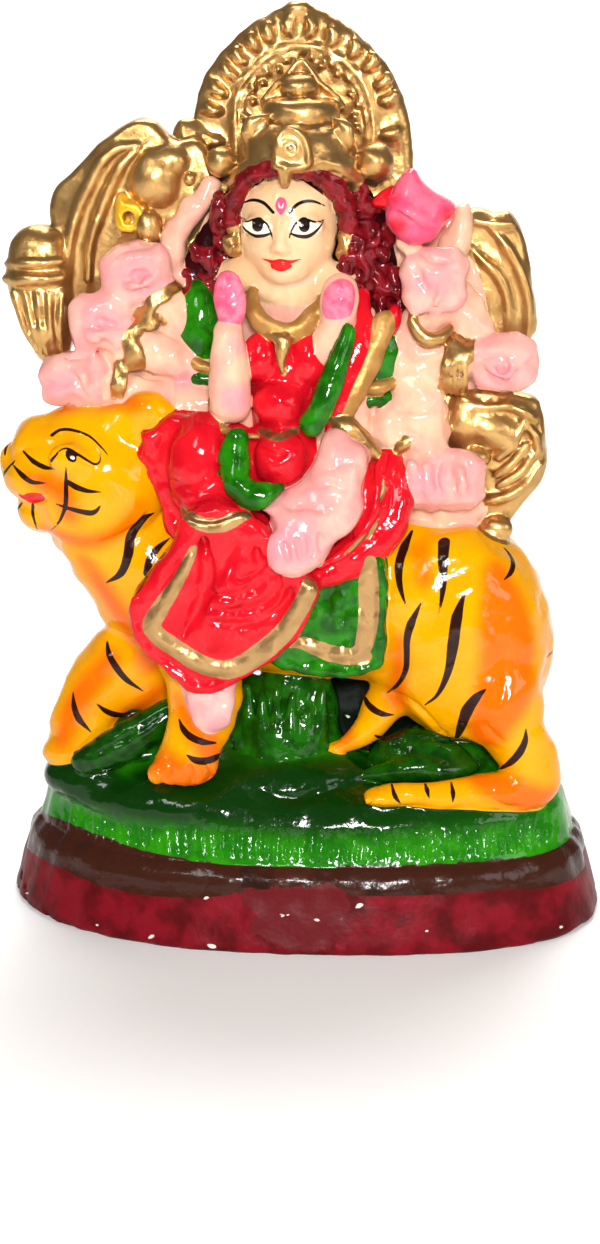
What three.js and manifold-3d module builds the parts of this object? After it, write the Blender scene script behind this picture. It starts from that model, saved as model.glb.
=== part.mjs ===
// A painted plaster figure: a many-armed goddess seated on a tiger, moulded in one with its
// oval plinth. Millimetres, +Z up, -Y is the front, origin at the middle of the underside.
import * as THREE from 'three';
import { mergeVertices } from 'three/addons/utils/BufferGeometryUtils.js';
import Module from 'manifold-3d';

const wasm = await Module();
wasm.setup();

// Driving dimensions
const figureHeight = 250; // ground under the tiger's feet to the tip of the aureole
const plinthHeight = 28; // painted block, up to where the grass begins
const moundHeight = 22; // grass mound on the block
const endMargin = 14; // block beyond the tiger's nose and heel, along X
const frontMargin = 13; // block in front of the near paws
const backMargin = 18; // block behind the far paws
const plinthTaper = 9; // how far the block draws in from its foot to its rim
const rimGroove = 1.4; // depth of the groove under the painted rim
const aureoleThickness = 6; // flat plate behind the head
const aureoleRim = 2.6; // radius of the plate's rounded edge
const webThickness = 9; // plaster left between the outer arms
const emblemThickness = 11; // gilded things that the outer hands hold
const plateBevel = 0.28; // bevel on a plate's edges, as a share of its thickness
const clothProud = 3.5; // how far the saddle cloth stands out from the flank
const petalCount = 17;
const beadCount = 15;
const skirtFolds = 7;
const sculptureFaces = 9200; // faces left on the joined figure
const flatFace = 0.05; // a face under this area, in square millimetres, is a sliver that may turn
const mostTurn = 0.35; // cosine of the most that any other face may turn

// Places on the figure are in 250ths of its height, and their heights count from the block's rim
// with the ground at feetLevel, so the whole figure keeps its proportions.
const k = figureHeight / 250;
const feetLevel = 22;
const groundTop = plinthHeight + moundHeight;
const at = (x, y, z) => new THREE.Vector3(x * k, y * k, groundTop + (z - feetLevel) * k);

// Reach of the tiger on the ground, from which the plinth takes its size
const footprint = { halfLength: 88 * k, front: 36 * k, back: 29 * k, widest: 12 * k };
const halfLength = footprint.halfLength + endMargin;
const frontReach = footprint.front + footprint.widest + frontMargin;
const backReach = footprint.back - footprint.widest + backMargin;

// Sides of a round section: few on small forms, more on large ones
const sidesFor = (radius) => THREE.MathUtils.clamp(Math.round(5.5 + radius * 0.3), 6, 16);
// How much wider a section of so many sides is drawn, to hold the area of the true round one
const fullness = (sides) => Math.sqrt((2 * Math.PI) / sides / Math.sin((2 * Math.PI) / sides));

// A closed surface from rings with equal numbers of points, closed at both ends
function skin(rings) {
  const sides = rings[0].length;
  const points = rings.flat();
  const faces = [];
  for (let r = 0; r + 1 < rings.length; r++) {
    for (let s = 0; s < sides; s++) {
      const a = r * sides + s;
      const b = r * sides + ((s + 1) % sides);
      faces.push(a, b, b + sides, a, b + sides, a + sides);
    }
  }
  for (const ring of [0, rings.length - 1]) {
    const middle = points.length;
    const centre = new THREE.Vector3();
    rings[ring].forEach((p) => centre.addScaledVector(p, 1 / sides));
    points.push(centre);
    for (let s = 0; s < sides; s++) {
      const a = ring * sides + s;
      const b = ring * sides + ((s + 1) % sides);
      faces.push(...(ring === 0 ? [b, a, middle] : [a, b, middle]));
    }
  }
  return new THREE.BufferGeometry().setFromPoints(points).setIndex(faces);
}

// A rounded lump: half-sizes along X, Y and Z, then turned about those axes in degrees
function lump([x, y, z], halfSizes, [tx, ty, tz] = [0, 0, 0]) {
  const sides = sidesFor(Math.max(...halfSizes));
  const [rx, ry, rz] = halfSizes.map((half) => half * k * fullness(sides));
  const geometry = new THREE.SphereGeometry(1, sides, Math.max(4, Math.round(sides * 0.6)));
  geometry.rotateX(Math.PI / 2).scale(rx, ry, rz / fullness(sides));
  const turn = [tx, ty, tz].map(THREE.MathUtils.degToRad);
  geometry.rotateX(turn[0]).rotateY(turn[1]).rotateZ(turn[2]);
  const place = at(x, y, z);
  return geometry.translate(place.x, place.y, place.z);
}

// A rounded limb through stations [x, y, z, radius]. depth flattens it from front to back, folds
// flute it along its length, and ridges swell and pinch it across.
function limb(stations, { depth = 1, sides, folds = 0, ridges = 0, bite = 0.12 } = {}) {
  const path = new THREE.CatmullRomCurve3(stations.map(([x, y, z]) => at(x, y, z)));
  const around = sides ?? sidesFor(Math.max(...stations.map((p) => p[3])));
  const count = ridges ? 2 * ridges : 2 * (stations.length - 1);
  const away = new THREE.Vector3(0, 1, 0);
  const ringAt = (share, swell, push) => {
    const reach = share * (stations.length - 1);
    const i = Math.min(stations.length - 2, Math.floor(reach));
    const radius = THREE.MathUtils.lerp(stations[i][3], stations[i + 1][3], reach - i) * k;
    const along = path.getTangent(share);
    const across = new THREE.Vector3().crossVectors(away, along).normalize();
    const deep = new THREE.Vector3().crossVectors(along, across);
    const centre = path.getPoint(share).addScaledVector(along, push * radius);
    return Array.from({ length: around }, (_, s) => {
      const angle = (2 * Math.PI * s) / around;
      const flute = folds ? 1 + bite * Math.cos(folds * angle) : 1;
      const reachOut = radius * swell * flute * fullness(around);
      return centre.clone()
        .addScaledVector(across, Math.cos(angle) * reachOut)
        .addScaledVector(deep, Math.sin(angle) * reachOut * depth);
    });
  };
  const rings = [ringAt(0, 0.5, -0.86), ringAt(0, 0.87, -0.5)];
  for (let i = 0; i <= count; i++) {
    rings.push(ringAt(i / count, ridges ? 1 + (i % 2 ? bite : -bite) : 1, 0));
  }
  rings.push(ringAt(1, 0.87, 0.5), ringAt(1, 0.5, 0.86));
  return skin(rings);
}

// Level oval rings [x, y, z, half-width, half-depth], with folds that deepen from first to last
function bell(rings, { sides = 28, folds = 0, foldDepth = 0.2 } = {}) {
  return skin(rings.map(([x, y, z, rx, ry], i) =>
    Array.from({ length: sides }, (_, s) => {
      const angle = (2 * Math.PI * s) / sides;
      const swell = 1 + (foldDepth * i * Math.cos(folds * angle)) / rings.length;
      return at(x + rx * swell * Math.cos(angle), y + ry * swell * Math.sin(angle), z);
    })).reverse());
}

// A flat plate with a bevelled edge, its outline drawn in X and Z, from a front to a back depth
function plate(outline, [front, back], points = outline.length) {
  const thickness = (back - front) * k;
  const edge = thickness * plateBevel;
  const curve = new THREE.CatmullRomCurve3(
    outline.map(([x, z]) => new THREE.Vector3(x * k, z * k, 0)), true);
  const shape = new THREE.Shape(curve.getPoints(points).slice(0, -1)
    .map((p) => new THREE.Vector2(p.x, p.y)));
  const geometry = new THREE.ExtrudeGeometry(shape, {
    depth: thickness - 2 * edge, bevelThickness: edge, bevelSize: edge, bevelOffset: -edge,
    bevelSegments: 1, curveSegments: 1,
  });
  geometry.rotateX(Math.PI / 2);
  return geometry.translate(0, back * k - edge, groundTop - feetLevel * k);
}

// A bangle round a limb: centre, radius, half-width, and the way the limb runs
function bangle([x, y, z], radius, half, [ax, ay, az]) {
  const geometry = new THREE.CylinderGeometry(radius * k, radius * k, 2 * half * k, 7);
  const turn = new THREE.Quaternion().setFromUnitVectors(
    new THREE.Vector3(0, 1, 0), new THREE.Vector3(ax, ay, az).normalize());
  const place = at(x, y, z);
  return geometry.applyQuaternion(turn).translate(place.x, place.y, place.z);
}

// The plinth's outline at an angle, drawn in by an inset: fuller at its right-hand front corner
// than at its left, and flatter behind
function plinthPoint(angle, inset, height) {
  const c = Math.cos(angle);
  const s = Math.sin(angle);
  const inFront = s < 0;
  const corner = inFront ? THREE.MathUtils.lerp(0.93, 0.72, 0.5 + 0.5 * c) : 0.8;
  const reach = inFront ? frontReach : backReach;
  const x = (halfLength - inset) * Math.sign(c) * Math.abs(c) ** corner;
  const y = (reach - inset) * Math.sign(s) * Math.abs(s) ** corner;
  return new THREE.Vector3(x, y + (frontReach - backReach) / 2, height);
}

function plinth() {
  const sides = 36;
  // insets and heights up the block, then up the mound
  const rim = plinthTaper;
  const levels = [
    [1.2, 0],
    [0, 1.5],
    [rim * 0.5, plinthHeight * 0.62],
    [rim * 0.56 + rimGroove, plinthHeight * 0.7],
    [rim * 0.56, plinthHeight * 0.78],
    [rim, plinthHeight],
    [rim + 4, plinthHeight + moundHeight * 0.55],
    [rim + 12, plinthHeight + moundHeight * 0.92],
    [Math.min(frontReach, backReach) - 6, groundTop],
  ];
  return skin(levels.map(([inset, height]) =>
    Array.from({ length: sides }, (_, s) =>
      plinthPoint((2 * Math.PI * s) / sides, inset, height))));
}

// Clumps of grass that fill the space under the belly and between the legs
function grass() {
  return [
    limb([[-6, -4, 20, 18], [-4, -3, 48, 15]], { depth: 0.75, folds: 6, sides: 18, bite: 0.07 }),
    limb([[-72, -10, 20, 9], [-56, -9, 30, 12], [-44, -8, 44, 12]], { depth: 0.8 }),
    lump([36, 6, 24], [22, 14, 14]),
    lump([4, 9, 29], [46, 15, 21]),
  ];
}

function tiger() {
  const parts = [
    limb([[-46, -1, 86, 26], [-8, 0, 81, 27], [26, 0, 80, 28], [48, 0, 78, 30]], { depth: 0.82 }),
    lump([52, 0, 71], [31, 25, 38], [0, -10, 0]), // rump
    limb([[-44, -2, 84, 25], [-55, -3, 100, 23], [-62, -5, 116, 22]], { depth: 0.88 }), // neck
    lump([-66, -6, 126], [27, 21, 25]), // skull
    lump([-83, -7, 133], [12, 13, 12]), // brow
    lump([-87, -8, 121], [11, 13, 7.5], [0, 12, 0]), // muzzle
    lump([-95, -7, 127], [4, 5, 5]), // nose
    lump([-84, -6, 108.5], [11.5, 10.5, 6], [0, -8, 0]), // jaw
    lump([-62, -17, 116], [13, 10, 13]), // cheek
    lump([-74, -23, 131], [6, 4.5, 4]), // eye
    lump([-47, -12, 146], [6.5, 5, 7], [0, 20, 0]), // ears
    lump([-49, 8, 144], [6.5, 5, 8], [0, 20, 0]),
    limb([[52, 22, 96, 7], [70, 20, 84, 7], [76, 15, 62, 6], [70, 16, 44, 5]]), // tail behind the rump
  ];
  // near and far legs
  parts.push(limb([[-36, -14, 78, 15], [-28, -23, 50, 12], [-31, -28, 30, 9.5]]));
  parts.push(limb([[-48, 2, 64, 15], [-60, 1, 47, 12], [-72, -1, 35, 10], [-79, -3, 27, 9.5]]));
  parts.push(lump([52, -13, 72], [25, 14, 36], [0, -14, 0])); // near haunch
  parts.push(lump([52, 13, 70], [24, 13, 34], [0, -14, 0])); // far haunch
  parts.push(limb([[64, -15, 54, 17], [74, -13, 38, 11.5], [75, -12, 26, 11]]));
  parts.push(limb([[76, -14, 19, 8.5], [50, -25, 20, 6.5], [30, -31, 21.5, 5.5]]));
  parts.push(limb([[40, 6, 62, 13], [30, 5, 44, 8.5], [12, -2, 26, 6]]));
  parts.push(limb([[62, 15, 46, 12], [70, 14, 24, 9], [48, 17, 21, 6]]));
  parts.push(lump([-79.5, -6, 24], [9, 9, 7])); // far paw
  // near paws, with three toes each
  for (const [x, y, z, r] of [[-35, -32, 25, 11.5], [26, -32, 22, 6.5]]) {
    parts.push(lump([x, y, z], [r, r * 0.85, r * 0.6]));
    for (let toe = -1; toe <= 1; toe++) {
      parts.push(lump([x - r * 0.66, y - r * 0.4 + toe * r * 0.34, z - r * 0.12],
        [r * 0.42, r * 0.26, r * 0.34]));
    }
  }
  return parts;
}

function saddleCloth() {
  const outline = [[2, 98], [24, 104], [29, 96], [30, 72], [26, 66], [4, 62], [-14, 66], [-14, 88]];
  const flank = -25;
  return [plate(outline, [flank - clothProud / k, flank + 13], 14)];
}

function body() {
  return [
    lump([-2, -4, 118], [32, 20, 18]), // hips
    limb([[-3, -5, 128, 17], [-3, -5, 146, 15.5], [-4, -3, 162, 20], [-4, 0, 174, 17]], { depth: 0.85 }),
    limb([[-30, 2, 172, 9], [-4, 1, 178, 10], [22, 2, 171, 9]]), // shoulders
    limb([[-3, -3, 176, 11], [-3, -5, 192, 10]]), // neck
    lump([-12, -17, 163], [9, 7, 10]), // pleats of the blouse
    lump([5, -17, 163], [9, 7, 10]),
    lump([-5, -20, 148], [12, 7, 8]),
    lump([-5, -22, 132], [13, 10, 13]),
    limb([[-18, -12, 181, 3], [-13, -19, 173, 4], [-4, -22, 169.5, 4.5], [5, -19, 173, 4], [9, -12, 181, 3]]),
    lump([-5, -24, 161], [3.4, 2.4, 7]), // drop of the broad necklace
  ];
}

// A rope of curls through [x, y, z] stations
function lock(stations) {
  const path = new THREE.CatmullRomCurve3(stations.map((p) => new THREE.Vector3(...p)));
  const curls = 6;
  const wavy = Array.from({ length: curls + 1 }, (_, i) => {
    const p = path.getPoint(i / curls);
    return [p.x + (i % 2 ? 2.2 : -2.2), p.y - 1, p.z, 7];
  });
  return limb(wavy, { ridges: curls, bite: 0.16 });
}

function head() {
  return [
    lump([-3, -4, 205], [18, 16.5, 21]),
    lump([-3, -3, 216], [20, 17.5, 12]), // hair over the brow
    lump([-3, -20, 201.5], [2.4, 3, 4.4]), // nose
    lump([-3, -17.5, 193], [6, 3.6, 5]), // mouth and chin
    lump([-24, -4, 200], [3.6, 4, 7]), // earrings
    lump([15, -6, 199], [4, 4, 7.5]),
    lump([-3, 8, 196], [29, 8, 27]), // hair down the back
    lock([[-22, -3, 216], [-27, -3, 202], [-32, 0, 188], [-35, 0, 176]]),
    lock([[17, -3, 216], [23, -4, 204], [27, -3, 190], [24, -5, 176]]),
  ];
}

function crown() {
  const profile = [
    [0, 212], [18, 214], [20.5, 221], [18, 228], [12.5, 232], [12.5, 239], [8, 242.5], [6.6, 243.5],
    [8, 247], [4.5, 252.5], [0, 258],
  ];
  const outline = profile.map(([r, z]) => new THREE.Vector2(r * k, groundTop + (z - feetLevel) * k));
  const parts = [
    new THREE.LatheGeometry(outline, 12).rotateX(Math.PI / 2).translate(-1.5 * k, 0, 0),
    lump([-3, -19, 228.5], [5, 4, 8.5]), // front plate
    limb([[-3, -21.5, 222, 1.9], [-3.5, -21, 216, 1.5]]), // drop on the brow
    lump([-26, -3, 223], [6, 6, 6]), // side bosses
    lump([23, -4, 223], [6.8, 6.5, 6.8]),
  ];
  for (const side of [-1, 1]) {
    parts.push(lump([-2 + side * 15, -4, 233.5], [3.4, 3.4, 8], [0, side * 28, 0])); // side leaves
  }
  return parts;
}

// The aureole's edge at a share of the way round, from the left end over the top, drawn in by inset
const aureoleOutline = new THREE.CatmullRomCurve3([
  [-31, 213], [-35.5, 222], [-36, 234], [-32.5, 246], [-24.5, 257], [-13, 265.5], [-2, 269],
  [9.5, 265.5], [20.5, 257], [29.5, 245], [33, 233], [33, 222], [31, 211],
].map(([x, z]) => new THREE.Vector3(x, 0, z)));
function aureolePoint(share, inset) {
  const p = aureoleOutline.getPointAt(share);
  const along = aureoleOutline.getTangentAt(share);
  return [p.x + along.z * inset, p.z - along.x * inset];
}

// A row of knobs along the aureole, one swelling for each
function knobs(count, inset, radius, [from, to], y, bite) {
  const stations = Array.from({ length: 2 * count + 1 }, (_, i) => {
    const [x, z] = aureolePoint(THREE.MathUtils.lerp(from, to, i / (2 * count)), inset);
    return [x, y, z, radius];
  });
  return limb(stations, { ridges: count, bite, sides: 5 });
}

function aureole() {
  const depth = 14;
  const face = depth - aureoleThickness / 2 / k;
  const edge = Array.from({ length: 15 }, (_, i) => aureolePoint(i / 14, 0));
  return [
    plate([...edge, [16, 204], [-18, 204]], [face, face + aureoleThickness / k]),
    limb(edge.map(([x, z]) => [x, depth, z, aureoleRim / k]), { sides: 6 }),
    limb(Array.from({ length: 11 }, (_, i) => {
      const [x, z] = aureolePoint(0.06 + (i / 10) * 0.88, 12.5);
      return [x, face, z, 1.9];
    }), { sides: 5 }),
    knobs(petalCount, 6, 2.9, [0.03, 0.97], face, 0.3),
    knobs(beadCount, 17, 1.9, [0.12, 0.88], face, 0.25),
    lump([-2, depth - 1, 270], [4.5, 3.6, 3.4]), // finial
  ];
}

function drapery() {
  return [
    limb([[-8, -6, 124, 18], [-24, -16, 130, 17], [-33, -21, 133, 17]]), // right thigh and knee
    lump([-47, -16, 126], [7, 12, 16], [0, -12, 0]), // cloth behind the knee
    limb([[-45, -28, 126, 2.6], [-38, -36, 117, 3.6], [-28, -39, 114, 3.6], [-17, -36, 119, 2.6]]),
    bell([
      [-32, -20, 128, 12, 11], [-30, -22, 118, 17, 14], [-25, -23, 106, 28, 15], [-25, -25, 86, 28, 16],
      [-27, -26, 75, 20, 15], [-29, -28, 63, 8, 9],
    ], { folds: skirtFolds }), // hanging skirt
    limb([[-52, -30, 101, 2.2], [-51, -34, 84, 2.6], [-42, -39, 74, 2.8], [-28, -42, 70, 2.8],
      [-14, -40, 77, 2.8], [-2, -36, 88, 2.8], [4, -32, 99, 2.4]]), // its border
    limb([[-27, -31, 66, 9], [-26, -34, 57, 8], [-24, -38, 48, 5]], { depth: 0.8 }), // hanging foot
    limb([[-16, -30, 139, 3.6], [-18.5, -32, 130, 4.4], [-12, -35, 122.5, 4.8], [-3, -33, 125, 3.4]]), // sash
    limb([[28, -12, 131, 4], [31, -18, 116, 6], [22, -25, 102, 6.5], [5, -31, 95, 4.5]], { depth: 0.8 }),
    lump([18, -12, 116], [20, 16, 17]), // left thigh under the cloth
  ];
}

function foldedFoot() {
  return [
    lump([13, -23, 121], [12.5, 11, 15], [0, 18, 0]),
    limb([[12, -26, 116, 12], [6, -32, 108, 9.5], [1, -35, 103, 7]], { depth: 0.8 }),
    limb([[-5.5, -38, 101, 3.2], [8, -35, 104, 3]], { ridges: 5, bite: 0.16 }), // toes
  ];
}

// The two hands held up before the chest, and the cloth that falls from the left shoulder
function frontArms() {
  return [
    limb([[-17, -23, 150, 8], [-19.5, -24, 162, 7], [-20.5, -22, 173, 5.6]]),
    lump([-21, -21.5, 183], [6, 4.6, 9.5]),
    bangle([-17, -23, 146], 7, 1.6, [0.2, 0.2, 1]),
    lump([12, -20, 184], [6, 4.6, 8.5]),
    limb([[11, -19, 178, 5.5], [6, -20, 168, 5.5]]),
    limb([[14, -22, 175, 2.8], [11, -25, 162, 3.8], [7, -27, 151, 4.2], [2, -27, 143, 3.2]]),
    lump([-31, -3, 164], [9.5, 10, 17], [0, -6, 0]), // sleeves
    lump([25, -4, 162], [9, 9.5, 15], [0, 8, 0]),
    limb([[17, -9, 183, 4], [16, -16, 166, 4.4], [11, -19, 150, 3.6], [9, -19, 139, 2]], { depth: 0.7 }),
    limb([[28, -10, 179, 4], [22, -15, 160, 4], [15, -18, 146, 3.2]], { depth: 0.7 }),
    limb([[12, -18, 146, 3.6], [18, -18, 141, 5], [27, -18, 134, 3.4]]), // armlet
  ];
}

// A closed hand: one ridge for each finger, running down the picture plane from top to foot
function fist(top, foot, radius) {
  return limb([[...top, radius * 0.86], [...foot, radius]], { ridges: 3, bite: 0.08 });
}

function leftArms() {
  const web = [[-26, 214], [-44, 196], [-60, 178], [-72, 160], [-64, 144], [-30, 138], [-20, 170]];
  return [
    plate(web, [1.5, 1.5 + webThickness / k], 8),
    limb([[-32, 0, 165, 8], [-40, -5, 174, 6.8], [-46, -7, 182, 6.4]]),
    limb([[-30, -2, 156, 9], [-44, -7, 160, 8], [-58, -8, 168, 6.8]]),
    limb([[-28, -4, 145, 10], [-44, -8, 146, 9], [-66, -8, 150, 7]]),
    limb([[-38, 0, 180, 6.5], [-36, 1, 196, 5.6], [-29, 1, 214, 4]]), // raised
    bangle([-41, -6, 177], 7.2, 2.2, [-0.7, -0.2, 0.7]),
    bangle([-51, -8, 162], 7.4, 2.4, [-1, 0, 0.5]),
    bangle([-58, -9, 149], 7.4, 2.4, [-1, 0, 0.2]),
    fist([-54, -7, 197], [-47, -7, 184], 9.5),
    fist([-68, -8, 176], [-62, -8, 166], 9.5),
    fist([-78, -8, 155], [-72, -8, 150], 9.8),
  ];
}

function rightArms() {
  const web = [[26, 212], [46, 202], [60, 176], [66, 160], [62, 112], [38, 106], [24, 136], [20, 172]];
  return [
    plate(web, [1.5, 1.5 + webThickness / k], 9),
    limb([[26, 0, 168, 8], [36, -6, 172, 7], [40, -8, 180, 7]]),
    limb([[26, -1, 160, 9], [42, -6, 166, 8.5], [54, -8, 164, 7.5]]),
    limb([[25, -3, 150, 10], [37, -7, 150, 9], [42, -10, 136, 9]]),
    limb([[46, -3, 190, 7], [50, -2, 206, 4.4]]), // thumb side, held up
    lump([46, 2, 113], [17, 10, 10]), // fills down to the tiger's hip
    bangle([38, -8, 175], 7.6, 2.4, [0.3, -0.2, 1]),
    bangle([48, -8, 164], 8.2, 2.2, [1, 0, -0.1]),
    bangle([41, -9, 143], 8.8, 1.8, [0.3, -0.2, -1]),
    fist([41, -9, 195], [42, -9, 184], 10),
    fist([62, -9, 168], [63, -9, 157], 12),
    fist([43, -12, 124], [54, -12, 126], 11),
    lump([38, -10, 209.5], [10.5, 9, 11], [0, -12, 0]), // lotus bud and its outer petals
    lump([31, -11, 213], [5, 6, 9.5], [0, -18, 0]),
    lump([43.5, -9, 207], [5.5, 6, 7.5], [0, 48, 0]),
  ];
}

// What the outer hands hold: gilded plates with raised ribs, and a fluted shell
function emblems() {
  const wing = [[-54, 238], [-42, 229], [-30, 224], [-28, 212], [-36, 196], [-48, 180], [-64, 176],
    [-78, 180], [-82, 196], [-80, 212], [-69, 226]];
  const upper = [[47, 207], [60, 209], [68, 207], [72, 195], [75, 176], [70, 168], [58, 168],
    [48, 182], [44, 198]];
  const lower = [[44, 156], [60, 154], [76, 156], [78, 142], [80, 126], [73, 115], [70, 102],
    [64, 98], [59, 108], [60, 124], [52, 134], [42, 142]];
  const thickness = emblemThickness / k;
  const parts = [
    plate(wing, [0.5, 0.5 + thickness]),
    plate(upper, [-0.5, -0.5 + thickness]),
    plate(lower, [-2.5, -2.5 + thickness]),
    lump([-43, 3, 214], [11, 7, 10], [0, 20, 0]),
    lump([-57, -1, 206], [4.2, 4, 4.2]),
    limb([[-86.5, 3, 196, 9.4], [-86, 2, 184, 10.2], [-79, 0, 163, 7]],
      { depth: 0.8, folds: 4, sides: 16, bite: 0.08 }),
    bangle([-86, 3, 190], 9, 1.6, [0.1, 0, 1]),
  ];
  const ribs = [
    [[-54, 1, 230, 2.2], [-68, 0, 214, 2.8], [-75, 0, 196, 2.8], [-74, 0, 180, 2]],
    [[-50, 1, 226, 2], [-60, 0, 212, 2.6], [-66, 0, 196, 2.6], [-66, 0, 180, 2]],
    [[50, 0, 204, 2], [64, -1, 196, 2.6], [69, -1, 173, 2]],
    [[49, 0, 196, 2], [59, -1, 186, 2.4], [63, -1, 172, 2]],
    [[71, -2, 152, 2.2], [74, -3, 128, 2.6], [67, -2, 104, 2.2]],
    [[63, -2, 150, 2.2], [67, -3, 130, 2.4], [64, -2, 110, 2]],
    [[49, -2, 152, 2.4], [64, -3, 141, 2.4]],
  ];
  return [...parts, ...ribs.map((stations) => limb(stations))];
}

// Joins every lump of plaster into the one casting
function solidOf(geometry) {
  geometry.deleteAttribute('normal');
  geometry.deleteAttribute('uv');
  const closed = mergeVertices(geometry, 1e-4);
  return new wasm.Manifold(new wasm.Mesh({
    numProp: 3,
    vertProperties: new Float32Array(closed.attributes.position.array),
    triVerts: new Uint32Array(closed.index.array),
  }));
}

// Plane of a face as unit normal, offset and area
function planeOf(vertices, [a, b, c]) {
  const normal = new THREE.Vector3().crossVectors(
    new THREE.Vector3().subVectors(vertices[b], vertices[a]),
    new THREE.Vector3().subVectors(vertices[c], vertices[a]));
  const area = normal.length() / 2;
  normal.normalize();
  return { normal, offset: -normal.dot(vertices[a]), area };
}

// Takes the slivers and needless edges out of the joined surface, those that change it least first,
// until it has about so many faces. An edge is closed up only where the surface stays one closed
// skin and no face turns over.
function thinOut(vertices, startFaces, target) {
  let faces = startFaces;
  const planes = vertices.map(() => []);
  for (const face of faces) {
    const plane = planeOf(vertices, face);
    face.forEach((v) => planes[v].push(plane));
  }
  const error = (point, list) => list.reduce((sum, { normal, offset, area }) =>
    sum + area * (normal.dot(point) + offset) ** 2, 0);
  const turnsOver = (point, gone, kept, around) => around.some((face) => {
    if (face.includes(kept) && face.includes(gone)) return false;
    const before = planeOf(vertices, face);
    const moved = face.map((v) => (v === gone || v === kept ? point : vertices[v]));
    const after = planeOf(moved, [0, 1, 2]);
    return after.area < 1e-3 || (before.area > flatFace && before.normal.dot(after.normal) < mostTurn);
  });
  for (let round = 0; round < 40 && faces.length > target; round++) {
    const around = vertices.map(() => []);
    faces.forEach((face) => face.forEach((v) => around[v].push(face)));
    const edges = [];
    for (const [a, b, c] of faces) {
      for (const [from, to] of [[a, b], [b, c], [c, a]]) {
        if (from > to) continue;
        const list = [...planes[from], ...planes[to]];
        const middle = new THREE.Vector3().addVectors(vertices[from], vertices[to]).multiplyScalar(0.5);
        const length = vertices[from].distanceTo(vertices[to]);
        const choices = [vertices[from], vertices[to], middle].map((point) => [error(point, list), point]);
        const [least, point] = choices.sort((p, q) => p[0] - q[0])[0];
        edges.push({ from, to, point, cost: least + 1e-3 * length ** 3 });
      }
    }
    edges.sort((p, q) => p.cost - q.cost);
    const busy = new Set();
    const dead = new Set();
    const share = Math.max(50, edges.length * 0.12);
    let closed = 0;
    for (const { from, to, point } of edges) {
      if (faces.length - dead.size <= target || closed > share) break;
      const near = new Set([...around[from], ...around[to]].flat());
      if ([...near].some((v) => busy.has(v))) continue;
      const sideA = new Set(around[from].flat());
      const common = [...new Set(around[to].flat())].filter((v) => v !== from && v !== to && sideA.has(v));
      const shared = around[from].filter((face) => face.includes(to));
      if (common.length !== 2 || shared.length !== 2) continue;
      if (turnsOver(point, to, from, [...around[from], ...around[to]])) continue;
      shared.forEach((face) => dead.add(face));
      around[to].forEach((face) => { face[face.indexOf(to)] = from; });
      vertices[from] = point.clone();
      planes[from] = [...planes[from], ...planes[to]];
      near.forEach((v) => busy.add(v));
      closed++;
    }
    faces = faces.filter((face) => !dead.has(face));
    if (!closed) break;
  }
  return faces;
}

// Joins lumps into one body. What they close in between them is solid plaster, so bubbles are filled.
function join(pieces) {
  const joined = pieces.reduce((sum, piece) => sum.add(piece));
  return wasm.Manifold.compose(joined.decompose().filter((body) => body.volume() > 0));
}

function thinned(solid, target) {
  const mesh = solid.getMesh();
  const vertices = Array.from({ length: mesh.vertProperties.length / 3 }, (_, i) =>
    new THREE.Vector3().fromArray(mesh.vertProperties, i * 3));
  const faces = Array.from({ length: mesh.triVerts.length / 3 }, (_, i) =>
    Array.from(mesh.triVerts.subarray(i * 3, i * 3 + 3)));
  const kept = thinOut(vertices, faces, target);
  return solidOf(new THREE.BufferGeometry().setFromPoints(vertices).setIndex(kept.flat()).toNonIndexed());
}

const sculpture = thinned(join([
  ...grass(), ...tiger(), ...saddleCloth(), ...body(), ...head(), ...crown(), ...aureole(), ...drapery(),
  ...foldedFoot(), ...frontArms(), ...leftArms(), ...rightArms(), ...emblems(),
].map(solidOf)), sculptureFaces);
const cast = join([solidOf(plinth()), sculpture]).getMesh();
const casting = new THREE.BufferGeometry();
casting.setAttribute('position', new THREE.BufferAttribute(new Float32Array(cast.vertProperties), 3));
casting.setIndex(new THREE.BufferAttribute(new Uint32Array(cast.triVerts), 1));
casting.computeVertexNormals();
const paintedPlaster = new THREE.MeshStandardMaterial({ color: 0xe79a1c, roughness: 0.25, metalness: 0 });
const figure = new THREE.Mesh(casting, paintedPlaster);
figure.name = 'durga_figure';

const model = new THREE.Group();
model.add(figure);
export default model;
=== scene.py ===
# A painted plaster figure of a many-armed goddess on a tiger, cast in one with its plinth.
# The casting is built up in millimetres from rounded lumps, ropes and plates, then meshed once.
import math
import time

import bpy
import numpy as np
import openvdb
from mathutils import Euler, Matrix, Vector
from mathutils.bvhtree import BVHTree


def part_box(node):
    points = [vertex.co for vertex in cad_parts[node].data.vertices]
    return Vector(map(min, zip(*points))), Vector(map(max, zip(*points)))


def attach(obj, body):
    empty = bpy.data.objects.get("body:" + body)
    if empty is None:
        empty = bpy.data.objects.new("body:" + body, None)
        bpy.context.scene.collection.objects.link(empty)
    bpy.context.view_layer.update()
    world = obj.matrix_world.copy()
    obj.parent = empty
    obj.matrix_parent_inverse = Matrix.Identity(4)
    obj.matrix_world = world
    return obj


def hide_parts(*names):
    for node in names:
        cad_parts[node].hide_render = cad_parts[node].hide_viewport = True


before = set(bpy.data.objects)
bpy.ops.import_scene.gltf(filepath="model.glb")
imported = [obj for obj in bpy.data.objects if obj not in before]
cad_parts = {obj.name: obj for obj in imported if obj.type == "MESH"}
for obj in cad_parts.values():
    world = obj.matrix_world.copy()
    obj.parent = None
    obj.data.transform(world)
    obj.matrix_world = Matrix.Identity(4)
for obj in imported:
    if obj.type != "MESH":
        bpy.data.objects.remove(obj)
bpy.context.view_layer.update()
started = time.time()


def report(stage):
    print(f"{time.time() - started:6.1f} s  {stage}", flush=True)


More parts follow.
